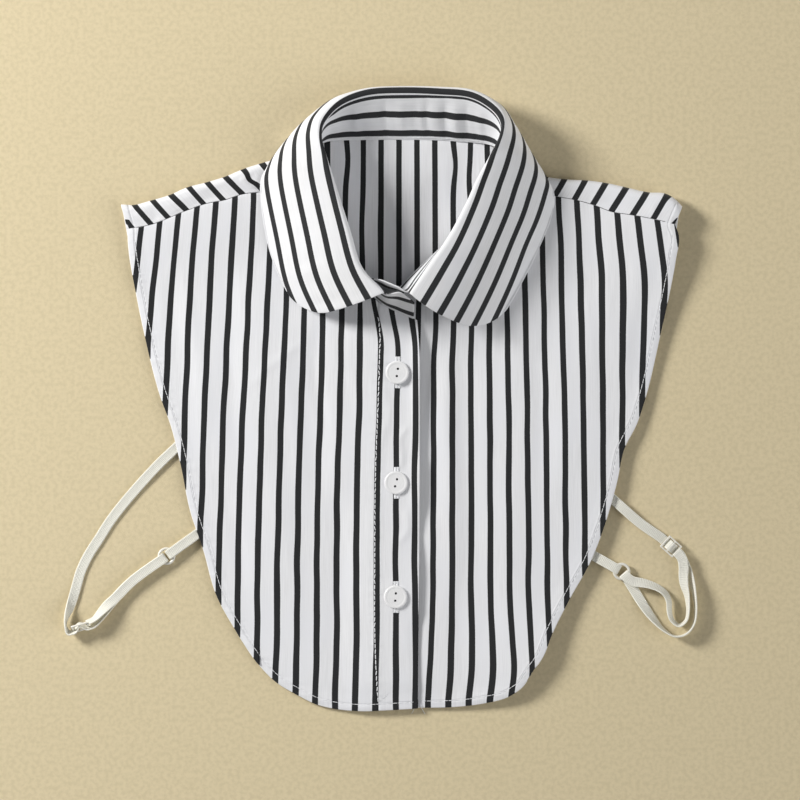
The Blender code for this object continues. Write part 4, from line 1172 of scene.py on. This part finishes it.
def front_right_height(x, y, seam):
    under = 1 - 0.8 * (1 - ease(x, 6, 18))
    lift = RIGHT_HEM_LIFT * ease(x, 40, 95) * (1 - ease(y, -70, 30)) + arm_lift(x, y)
    lift += CORNER_LIFT * bell(math.hypot(x - 74, y + 148) / 30)
    if x < 60:
        lift -= HEM_DROOP * (1 - ease(y - height_on(HEM_RIGHT[::-1], x), 0, 16)) * (1 - ease(x, 15, 50))
    return (front_level(x, y) + lift + under * (crease_height(CREASES_RIGHT, x, y) + undulation(x, y, 2))
            + puckered(seam, y) * 0.5)


def build_front(name, top, bottom, left, right, hems, seam_lines, height, lines):
    plan = flat_list(fill_between(top, bottom, left, right))
    edge = np.min([distance_to(plan, hem) for hem in hems], axis=0)
    seams = [edge - HEM_STITCH]
    for line in seam_lines:
        side = np.array([1 if x < line(y) else -1 for x, y in plan])
        seams.append(side * np.abs(np.array([x - line(y) for x, y in plan])))
    seam = signed_nearest(seams)
    points = [(x, y, max(1.35, height(x, y, s))) for (x, y), s in zip(plan, seam)]
    stripes = [stripe_number(lines, x + STRIPE_DRIFT * noise.noise(Vector((x / 16, y / 20, 7.0))), y)
               for x, y in plan]
    faces = grid_faces(len(left), len(top))
    return shell(name, points, faces, hem_thickness(edge), COTTON,
                 {"stripe": stripes, "along": [p[1] for p in plan], "seam": seam})


def neck_line(first, last):
    return [section.neck[:2] for section in SECTIONS[first:last + 1]]


def make_front_left():
    tab = [rim.neck[:2] for rim in reversed(LAP_TAB)]
    neckline = moved_aside(tab + neck_line(0, 3), SEAM_SETBACK)
    neckline.reverse()
    neckline[0] = (SEAM_LEFT[-1][0] - 0.3, SEAM_LEFT[-1][1] - SEAM_GAP)
    neckline[-1] = LAP_EDGE[0]
    seam = moved_aside(SEAM_LEFT, -SEAM_GAP)
    top = spaced(seam, SHOULDER_COLUMNS * FINE)[:-1] + spaced(neckline, NECK_COLUMNS * FINE)
    bottom = spaced(HEM_LEFT, (SHOULDER_COLUMNS + NECK_COLUMNS) * FINE)
    side = spaced([seam[0]] + SIDE_LEFT[1:], PANEL_ROWS * FINE)
    lap = spaced(LAP_EDGE, PANEL_ROWS * FINE)
    return build_front("front_cloth_left", top, bottom, side[::-1], lap[::-1], [side, bottom],
                       [band_stitch_x], front_left_height, LEFT_LINES)


def make_front_right():
    tab = [rim.neck[:2] for rim in UNDER_TAB]
    neckline = moved_aside(neck_line(16, 20) + tab, SEAM_SETBACK)
    neckline.insert(0, (SEAM_RIGHT[-1][0] + 0.3, SEAM_RIGHT[-1][1] - SEAM_GAP))
    under_edge = [neckline[-1], (-13.6, 50.0), (UNDER_EDGE_X, 20.0), (UNDER_EDGE_X, -80.0), HEM_RIGHT[-1]]
    seam = moved_aside(SEAM_RIGHT, SEAM_GAP)
    top = spaced(neckline[::-1], NECK_COLUMNS * FINE)[:-1] + spaced(seam[::-1], SHOULDER_COLUMNS * FINE)
    bottom = spaced(HEM_RIGHT[::-1], (SHOULDER_COLUMNS + NECK_COLUMNS) * FINE)
    side = spaced([seam[0]] + SIDE_RIGHT[1:], PANEL_ROWS * FINE)
    edge = spaced(under_edge, PANEL_ROWS * FINE)
    return build_front("front_cloth_right", top, bottom, edge[::-1], side[::-1], [side, bottom], [],
                       front_right_height, RIGHT_LINES)


BAND_STITCHES = [(46, -13.4), (38, -12.4), (22, -12.6), (-1, -13.3), (-45, -14.9), (-90, -15.2),
                 (-135, -15.1), (-157, -14.2), (-171, -13.2)]


def band_stitch_x(y):
    heights = [row[0] for row in BAND_STITCHES[::-1]]
    return float(np.interp(y, heights, [row[1] for row in BAND_STITCHES[::-1]]))


def shoulder_fold(fold, seam):
    """Columns of the shoulder from its arm end to the neck: up round the fold and on to the seam."""
    columns = []
    count = SHOULDER_COLUMNS * BACK_FINE
    for k, (outer, front) in enumerate(zip(spaced(fold, count), spaced(seam, count))):
        way = Vector((front[0] - outer[0], front[1] - outer[1])).normalized()
        lift = arm_lift(front[0], front[1])
        top = FOLD_TOP_ARM + (FOLD_TOP_NECK - FOLD_TOP_ARM) * k / count + lift
        flat = Vector(outer) + way * (HALF_WALL + (top - TABLE_LEVEL) / 2)
        low = back_level(flat.x, flat.y) + FOLD_START_LIFT
        radius = (top - low) / 2
        column = []
        for step in range(FOLD_STEPS + 1):
            angle = math.pi * step / FOLD_STEPS
            place = flat - way * radius * math.sin(angle)
            column.append((place.x, place.y, low + radius * (1 - math.cos(angle))))
        end = Vector(front) - way * SEAM_GAP
        for step in range(1, STRIP_ROWS + 1):
            t = step / STRIP_ROWS
            x, y = mix(flat, end, t)
            crease = 0.5 * undulation(x * 1.4, y * 1.4, 3) / UNDULATION + crease_height(CREASES_STRIP, x, y)
            crease *= ease(t, 0, 0.3) * (1 - ease(t, 0.7, 1))
            column.append((x, y, top + (SEAM_LEVEL + lift - top) * ease(t, 0, 1) + crease))
        columns.append(column)
    return columns


def strip_stripe(fold, slant, x, y):
    """The stripe at a place of the shoulder strip, counted from where it comes over the fold."""
    ordered = sorted(fold)
    rise = (ordered[-1][1] - ordered[0][1]) / (ordered[-1][0] - ordered[0][0])
    distance = max(0.0, height_on(ordered, x) - y) / math.hypot(1, rise)
    shift = STRIP_SHIFT_LEFT if x < 0 else STRIP_SHIFT_RIGHT
    shift += 1.7 * bell((distance - 7.0) / 3.0) * bell((x + 84.0) / 5.0) - 0.6 * ease(x, 148.5, 151.5)
    number = stripe_number(BACK_LINES, x + slant * distance + shift, 120.0)
    return max(number, -14.7 - 0.5 * ease(distance, 7.5, 9.5))


def make_back():
    left = shoulder_fold(FOLD_LEFT, SEAM_LEFT)
    right = shoulder_fold(FOLD_RIGHT, SEAM_RIGHT)[::-1]
    neckline = spaced(moved_aside(neck_line(5, 13), -SEAM_SETBACK), BACK_NECK_COLUMNS * BACK_FINE)
    top = [column[0][:2] for column in left] + neckline + [column[0][:2] for column in right]
    side_left = moved_aside(SIDE_LEFT[2:], BACK_INSET)
    side_right = moved_aside(SIDE_RIGHT[3:], -BACK_INSET)
    hem = moved_aside(HEM_LEFT[:-1], BACK_INSET) + moved_aside(HEM_RIGHT[::-1], BACK_INSET)[3:]
    bottom = spaced([side_left[-1]] + hem[1:-1] + [side_right[-1]], len(top) - 1)
    side_left = spaced([top[0]] + side_left, BACK_ROWS * BACK_FINE)
    side_right = spaced([top[-1]] + side_right, BACK_ROWS * BACK_FINE)
    plan = flat_list(fill_between(top, bottom, side_left[::-1], side_right[::-1]))
    points, stripes = [], []
    for x, y in plan:
        inside = 1 - ease(abs(x - 3), 40, 60)
        rise = max(0.0, crease_height(CREASES_BACK, x, y) + 0.6 * (undulation(x, y, 4) + 0.15) * inside)
        edge_free = ease(y, -168, -150) * (1 - ease(y, 132, 142))
        points.append((x, y, back_level(x, y) + rise * edge_free))
        bulge = sum(far * bell((x - bx) / wide) * bell((y - by) / high)
                    for bx, by, far, wide, high in BACK_BULGES)
        stripes.append(stripe_number(BACK_LINES, x - bulge, y))
    across = len(top)
    rows_up = len(side_left)
    faces = grid_faces(rows_up, across)
    last_row = (rows_up - 1) * across
    for columns, first, fold, slant in (
            (left, last_row, FOLD_LEFT, STRIP_SLANT_LEFT),
            (right, last_row + across - len(right), FOLD_RIGHT, STRIP_SLANT_RIGHT)):
        before = [first + k for k in range(len(columns))]
        for step in range(1, len(columns[0])):
            here = [len(points) + k for k in range(len(columns))]
            for column in columns:
                x, y, z = column[step]
                points.append((x, y, z))
                if step < FOLD_STEPS / 2:
                    stripes.append(stripe_number(BACK_LINES, x, y))
                else:
                    stripes.append(strip_stripe(fold, slant, x, y))
            for a, b, c, d in zip(before, before[1:], here[1:], here):
                faces.append((a, b, c, d))
            before = here
    hem_edge = np.minimum(distance_to(points, bottom),
                          np.minimum(distance_to(points, side_left), distance_to(points, side_right)))
    arm_ends = [[column[k][:2] for k in range(len(column))] for column in (left[0], right[-1])]
    for line in arm_ends:
        hem_edge = np.minimum(hem_edge, distance_to(points, line))
    thick = np.where(hem_edge < HEM_WIDTH, BACK_HEM_SHELL, SHELL)
    return shell("back_cloth", points, faces, thick, COTTON,
                 {"stripe": stripes, "along": [p[1] for p in points], "seam": signed_nearest([hem_edge - HEM_STITCH])})


def section_at(place):
    """The collar's section at a place from 0, the left tip, to 1, the right tip."""
    knots = [k / (len(SECTIONS) - 1) for k in range(len(SECTIONS))]
    flat = [section.neck + section.crest + section.belly + section.edge for section in SECTIONS]
    row = curve_at(flat, knots, place)
    return [Vector(row[k:k + 3]) for k in (0, 3, 6, 9)]


def collar_profile(place, steps=ROLL_STEPS):
    """The neck seam, the roll over the crest and the leaf's pull and edge, at one section."""
    neck, crest, belly, edge = section_at(place)
    up = ((crest - neck).normalized() + (crest - belly).normalized()).normalized()
    centre = crest - up * ROLL_RADIUS
    out = belly - neck
    out = (out - up * out.dot(up)).normalized()

    def tangent(point, turn):
        across = (point - centre).dot(out)
        above = (point - centre).dot(up)
        reach = max(math.hypot(across, above), ROLL_RADIUS * 1.001)
        return math.atan2(above, across) + turn * math.acos(ROLL_RADIUS / reach)

    start = tangent(neck, -1) + 2 * math.pi
    end = tangent(belly, 1)
    roll = []
    for step in range(steps + 1):
        angle = start + (end - start) * step / steps
        roll.append(centre + (out * math.cos(angle) + up * math.sin(angle)) * ROLL_RADIUS)
    crest_share = (start - math.pi / 2) / (start - end)
    return neck, roll, belly, edge, crest_share, abs(start - end) * ROLL_RADIUS


def leaf_rows():
    """Rows across the leaf: how far from the crest, 0 to 1, and how much the corner takes off."""
    straight = 1 - LEAF_CORNER / LEAF_WIDTH
    rows = [(straight * k / 30, 0.0) for k in range(1, 31)]
    for k in range(1, 19):
        angle = math.radians(90 - 90 * k / 18)
        rows.append((1 - LEAF_CORNER * (1 - math.cos(angle)) / LEAF_WIDTH, 1 - math.sin(angle)))
    return rows


def leaf_point(roll, belly, edge, w):
    return roll[-1] * (1 - w) ** 2 + belly * 2 * w * (1 - w) + edge * w ** 2


def make_leaf():
    first, last = section_at(0)[3], section_at(1)[3]
    left_speed = (section_at(0.01)[3] - first).length / 0.01
    right_speed = (section_at(0.99)[3] - last).length / 0.01
    table = [("roll", step, 0.0) for step in range(-4, ROLL_STEPS + 1)]
    table += [("leaf", across, cut) for across, cut in leaf_rows()]
    stripe_places = [row[0] for row in LEAF_STRIPE_ROWS]
    points, stripes, along, seam, widths = [], [], [], [], []
    for kind, across, cut in table:
        start = cut * LEAF_CORNER / left_speed
        end = 1 - cut * LEAF_CORNER / right_speed
        for k in range(LEAF_COLUMNS + 1):
            place = start + (end - start) * k / LEAF_COLUMNS
            neck, roll, belly, edge, crest_share, roll_length = collar_profile(place)
            before_crest = roll_length * crest_share
            if kind == "roll" and across < 0:
                inner = LEAF_INNER * -across / 4
                point = roll[0] + (neck - roll[0]).normalized() * inner
                distance = -before_crest - inner
            elif kind == "roll":
                point = roll[across]
                distance = roll_length * across / ROLL_STEPS - before_crest
            else:
                point = leaf_point(roll, belly, edge, across)
                distance = roll_length - before_crest
                previous = roll[-1]
                for step in range(1, 9):
                    here = leaf_point(roll, belly, edge, across * step / 8)
                    distance += (here - previous).length
                    previous = here
                support = support_level(point.x, point.y)
                clear = support + LEAF_CLEAR - HALF_WALL if support > 0 else TABLE_LEVEL
                settled = max(point.z, clear)
                relief = 0.55 * noise.noise(Vector((place * 46, across * 1.6, 8.0)))
                relief += 0.30 * noise.noise(Vector((place * 120, across * 3.0, 3.0)))
                point.z = settled + max(relief * math.sin(math.pi * min(across, 0.96)), clear - settled - 0.3)
            _, offset, pitch = curve_at(LEAF_STRIPE_ROWS, stripe_places, place)
            points.append(tuple(point))
            stripes.append(min((distance - offset) / pitch, 4.5))
            along.append(place * 420)
            seam.append(8.0)
    faces = grid_faces(len(table), LEAF_COLUMNS + 1)
    return shell("leaf_cloth", points, faces, COLLAR_SHELL, COLLAR,
                 {"stripe": stripes, "along": along, "seam": seam})


def stand_columns():
    """Neck and upper edge of the stand, from the lapping tab round to the tab below it."""
    columns = [(*rim.neck, *rim.rim) for rim in reversed(LAP_TAB)]
    coarse = 46
    for k in range(coarse + 1):
        neck, roll = collar_profile(k / coarse)[:2]
        columns.append((*neck, *(roll[0] + (neck - roll[0]).normalized() * (LEAF_INNER + LEAF_SEAM_GAP))))
    columns += [(*rim.neck, *rim.rim) for rim in UNDER_TAB]
    knots = list(range(len(columns)))
    return [curve_at(columns, knots, k / 5) for k in range((len(columns) - 1) * 5 + 1)]


def make_stand():
    columns = stand_columns()
    points, stripes, along, seam = [], [], [], []
    far = lengths(columns)
    for j in range(STAND_ROWS + 1):
        t = j / STAND_ROWS
        for k, row in enumerate(columns):
            neck, rim = Vector(row[:3]), Vector(row[3:])
            height = (rim - neck).length
            distance = height * t
            point = neck.lerp(rim, t)
            out = (columns[min(k + 1, len(columns) - 1)][0] - columns[max(k - 1, 0)][0],
                   columns[min(k + 1, len(columns) - 1)][1] - columns[max(k - 1, 0)][1])
            normal = Vector((*out, 0)).cross(rim - neck).normalized()
            wave = 0.5 * noise.noise(Vector((far[k] / 12, t * 1.2, 12.0)))
            at_back = ease(neck.y, 132, 141)
            for place, half_width, depth in STAND_CREASES:
                wave += at_back * depth * bell((neck.x + 1.5 * math.sin(3 * t) - place) / half_width)
            point += normal * wave * math.sin(math.pi * min(0.94, t + 0.04))
            points.append(tuple(point))
            rim_stripe = ease(neck.y, 118, 130)
            rim_left, rim_right = STAND_RIM_STRIPES
            rim_width = rim_left + (rim_right - rim_left) * ease(neck.x, 0, 30)
            knots = (0, *STAND_STRIPES, max(height - rim_width, 19.5), max(height, 20.9))
            last = 1.8 * rim_stripe + 1.5 * (1 - rim_stripe)
            stripes.append(float(np.interp(distance, knots, (-0.36, 0, 1, last, last + 0.2 * rim_stripe))))
            along.append(far[k])
            seam.append(max(-0.9, distance - 1.2))
    faces = grid_faces(STAND_ROWS + 1, len(columns))
    return shell("stand_cloth", points, faces, COLLAR_SHELL, COLLAR,
                 {"stripe": stripes, "along": along, "seam": np.clip(seam, -9, 9)})


front_left = finish_piece(make_front_left(), "striped_cotton", "front_left")
front_right = finish_piece(make_front_right(), "striped_cotton", "front_right")
back = finish_piece(make_back(), "striped_cotton", "back")
stand = finish_piece(make_stand(), "collar_cotton", "collar_stand")
leaf = finish_piece(make_leaf(), "collar_cotton", "collar_leaf")


# ---- stitches, buttonholes and buttons

def surface(made):
    mesh = made.data
    return BVHTree.FromPolygons([v.co / MM for v in mesh.vertices],
                                [tuple(p.vertices) for p in mesh.polygons])


def dropped(tree, x, y, from_below=False):
    """The first place of a piece straight below, or above, a point."""
    start = Vector((x, y, -20.0 if from_below else 60.0))
    return tree.ray_cast(start, Vector((0, 0, 1.0 if from_below else -1.0)))[0]


def stitch(a, b, radius, lift):
    """A short thread that rises out of the cloth and goes back in."""
    a, b = Vector(a), Vector(b)
    rows = []
    for t, up in ((0.0, -0.5), (0.25, 0.5), (0.75, 0.5), (1.0, -0.5)):
        rows.append(a.lerp(b, t) + Vector((0, 0, lift * up)))
    return rod(rows, radius, 6)


def stitch_row(line, tree, length=2.5, gap=0.55, radius=0.17, below=False, jitter=0.12):
    """Stitches along a line seen from above, laid on a piece."""
    knots = lengths(line)
    parts = []
    place = 0.4
    while place + length < knots[-1]:
        a = curve_at(line, knots, place)
        b = curve_at(line, knots, place + length)
        shift = CHANCE.uniform(-jitter, jitter)
        start = dropped(tree, a[0] + shift, a[1], below)
        end = dropped(tree, b[0] - shift, b[1], below)
        if start is not None and end is not None and abs(start.z - end.z) < 1.5:
            parts.append(stitch(start, end, radius, -0.16 if below else 0.16))
        place += length + gap
    return parts


TREE_LEFT = surface(front_left)
TREE_RIGHT = surface(front_right)
TREE_BACK = surface(back)


def inset_line(rows, distance, count=120):
    return moved_aside(spaced(rows, count), distance)


threads = stitch_row(inset_line(SIDE_LEFT[1:], HEM_STITCH), TREE_LEFT)
threads += stitch_row(inset_line(HEM_LEFT, HEM_STITCH), TREE_LEFT)
threads += stitch_row(inset_line(SIDE_RIGHT[1:], -HEM_STITCH), TREE_RIGHT)
threads += stitch_row([p for p in inset_line(HEM_RIGHT, -HEM_STITCH) if p[0] > 9.5], TREE_RIGHT)
finish_piece(joined("hem_stitches", threads, THREAD), "collar_cotton")

band_rows = [(x, y) for y, x in BAND_STITCHES]
finish_piece(joined("band_stitches", stitch_row(band_rows, TREE_LEFT, 2.1, 0.9, 0.26, jitter=0.25), THREAD),
             "collar_cotton")

under = stitch_row(inset_line(SIDE_LEFT[2:], BACK_INSET + HEM_STITCH), TREE_BACK, below=True)
under += stitch_row(inset_line(HEM_LEFT[:-1], BACK_INSET + HEM_STITCH), TREE_BACK, below=True)
under += stitch_row(inset_line(SIDE_RIGHT[3:], -BACK_INSET - HEM_STITCH), TREE_BACK, below=True)
under += stitch_row(inset_line(HEM_RIGHT, -BACK_INSET - HEM_STITCH), TREE_BACK, below=True)
finish_piece(joined("back_hem_stitches", under, THREAD), "collar_cotton")


def stitches_on_stand(share_from_neck, inside, radius=0.17, length=2.2, gap=0.5):
    """Stitches round the stand, a distance above the neck seam, on one of its faces."""
    columns = stand_columns()
    line = []
    for k, row in enumerate(columns):
        neck, rim = Vector(row[:3]), Vector(row[3:])
        after = Vector(columns[min(k + 1, len(columns) - 1)][:3])
        before = Vector(columns[max(k - 1, 0)][:3])
        up = (rim - neck).normalized()
        normal = (after - before).cross(up).normalized()
        out = COLLAR_SHELL / 2 + 0.08
        line.append(tuple(neck + up * share_from_neck + normal * (out if inside else -out)))
    knots = lengths(line)
    parts = []
    place = 1.0
    while place + length < knots[-1] - 1.0:
        rows = [curve_at(line, knots, place + length * t) for t in (0, 0.33, 0.67, 1)]
        parts.append(rod(rows, radius, 6))
        place += length + gap
    return parts


stand_threads = stitches_on_stand(1.2, True) + stitches_on_stand(1.2, False)
finish_piece(joined("stand_stitches", stand_threads, THREAD), "collar_cotton")


def buttonhole(centre, tree, length, upright=True, width=2.3):
    """Satin stitches down both sides of a slit, with a bar of stitches at each end."""
    parts = []
    count = int(length / 0.42)
    for k in range(count + 1):
        along = length * (k / count - 0.5)
        at_end = abs(along) > length / 2 - 2.3
        for side in (-1, 1):
            inner, outer = (0.0, width / 2 + 0.25) if at_end else (0.22, width / 2)
            outer += CHANCE.uniform(-0.08, 0.08)
            offset = CHANCE.uniform(-0.05, 0.05)
            ends = []
            for reach in (inner * side, outer * side):
                x, y = (reach, along + offset) if upright else (along + offset, reach)
                ends.append(dropped(tree, centre[0] + x, centre[1] + y))
            if None in ends:
                continue
            parts.append(stitch(ends[0], ends[1], 0.25 if at_end else 0.19, 0.34 if at_end else 0.20))
    return parts


holes = []
for bx, by in BUTTONS.values():
    holes += buttonhole((bx + 0.3, by), TREE_LEFT, BUTTONHOLE_LENGTH)
finish_piece(joined("buttonhole_stitches", holes, THREAD), "collar_cotton")

BUTTON_PROFILE = [(0.0, 0.0), (4.6, 0.0), (5.9, 0.06), (6.34, 0.22), (6.5, 0.42), (6.5, 0.60), (6.38, 0.82),
                  (6.08, 0.97), (5.60, 1.02), (5.20, 0.97), (4.90, 0.86), (4.60, 0.80), (4.30, 0.85),
                  (3.90, 0.81), (3.50, 0.79), (2.8, 0.78), (0.0, 0.78)]


def hole_way(name):
    turn = math.radians(BUTTON_TURNS[name])
    return math.sin(turn), math.cos(turn)


def make_button(name):
    """A dished disc with a rounded rim and two holes, where its solid is."""
    low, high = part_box(name)
    centre = (low + high) / 2
    steps = 72
    shape = bmesh.new()
    corners = [shape.verts.new((r * MM, 0, h * MM)) for r, h in BUTTON_PROFILE]
    edges = [shape.edges.new(pair) for pair in zip(corners, corners[1:])]
    bmesh.ops.spin(shape, geom=corners + edges, axis=(0, 0, 1), cent=(0, 0, 0),
                   angle=math.tau, steps=steps, use_duplicate=False)
    bmesh.ops.remove_doubles(shape, verts=shape.verts, dist=0.000005)
    bmesh.ops.recalc_face_normals(shape, faces=shape.faces)
    mesh = bpy.data.meshes.new(name + "_disc")
    shape.to_mesh(mesh)
    shape.free()
    mesh.materials.append(PLASTIC)
    made = bpy.data.objects.new(name + "_disc", mesh)
    bpy.context.scene.collection.objects.link(made)
    cutters = []
    for side in (-1, 1):
        cut_shape = bmesh.new()
        bmesh.ops.create_cone(cut_shape, cap_ends=True, segments=24, radius1=HOLE_RADIUS * MM,
                              radius2=HOLE_RADIUS * MM, depth=4 * BUTTON_HEIGHT * MM)
        cut_mesh = bpy.data.meshes.new(name + "_cut")
        cut_shape.to_mesh(cut_mesh)
        cut_shape.free()
        cut_mesh.materials.append(PLASTIC)
        cutter = bpy.data.objects.new(name + "_cut", cut_mesh)
        cutter.location = Vector((*hole_way(name), 0)) * side * HOLE_OFFSET * MM
        bpy.context.scene.collection.objects.link(cutter)
        modifier = made.modifiers.new("hole", "BOOLEAN")
        modifier.operation = "DIFFERENCE"
        modifier.solver = "EXACT"
        modifier.object = cutter
        cutters.append(cutter)
    bpy.context.view_layer.update()
    ready = made.evaluated_get(bpy.context.evaluated_depsgraph_get())
    solid = bpy.data.meshes.new_from_object(ready)
    made.modifiers.clear()
    made.data = solid
    for cutter in cutters:
        bpy.data.objects.remove(cutter)
    for v in solid.vertices:
        v.co += Vector((centre.x, centre.y, low.z))
    solid.shade_smooth()
    solid.set_sharp_from_angle(angle=math.radians(42))
    return made, centre / MM, low.z / MM


for name in BUTTONS:
    disc, centre, base = make_button(name)
    finish_piece(disc, "button_plastic", name)
    # a short rod in each hole, thread coloured near-black as painted shade so the holes look dark
    shade_painted_threads = []
    for end in (-1, 1):
        x, y = (c + w * end * HOLE_OFFSET for c, w in zip(centre, hole_way(name)))
        shade_painted_threads.append(rod([(x, y, base + h) for h in (-0.4, -0.15, 0.1)], 0.56, 10))
    finish_piece(joined(name + "_hole_shade_thread", shade_painted_threads, SHADOWED), "collar_cotton")


def thread_end(rows):
    return rod(rows, 0.14, 6)


loose = [thread_end([(7.4, -171.5, 3.2), (6.8, -173.6, 1.8), (6.1, -175.0, 0.6), (5.4, -176.2, 0.3)]),
         thread_end([(10.2, -171.0, 3.0), (11.2, -173.4, 1.6), (12.2, -175.2, 0.5), (12.9, -176.4, 0.3)])]
finish_piece(joined("thread_ends", loose, THREAD), "collar_cotton")


# ---- floor and light

floor_shape = bmesh.new()
bmesh.ops.create_grid(floor_shape, x_segments=2, y_segments=2, size=8.0)
floor_mesh = bpy.data.meshes.new("floor")
floor_shape.to_mesh(floor_mesh)
floor_shape.free()
floor = bpy.data.objects.new("floor", floor_mesh)
floor.location = (0, 0, -0.0002)
bpy.context.scene.collection.objects.link(floor)
floor_mesh.materials.append(plain_material("floor_surface", (0.72, 0.613, 0.400), (0.655, 0.556, 0.354), 0.95,
                                           420, 0.5))

KEY_FROM = Vector((-0.87, 0.43, 0.49)).normalized()
KEY_DISTANCE = 2.1
key_data = bpy.data.lights.new("key", "AREA")
key_data.shape = "DISK"
key_data.size = 0.62
key_data.energy = 55.5
key_data.color = (1.0, 0.99, 0.97)
key = bpy.data.objects.new("key", key_data)
key.location = KEY_FROM * KEY_DISTANCE
key.rotation_euler = KEY_FROM.to_track_quat("Z", "Y").to_euler()
key.visible_camera = False
bpy.context.scene.collection.objects.link(key)

fill_data = bpy.data.lights.new("fill", "SUN")
fill_data.energy = 1.8
fill_data.angle = math.radians(60)
fill = bpy.data.objects.new("fill", fill_data)
fill.rotation_euler = Vector((0.88, -0.32, 0.36)).to_track_quat("Z", "Y").to_euler()
bpy.context.scene.collection.objects.link(fill)

world = bpy.data.worlds.new("studio")
world.use_nodes = True
world.node_tree.nodes["Background"].inputs["Color"].default_value = (0.98, 0.99, 1.0, 1.0)
world.node_tree.nodes["Background"].inputs["Strength"].default_value = 0.155
bpy.context.scene.world = world
bpy.context.scene.view_settings.view_transform = "Standard"
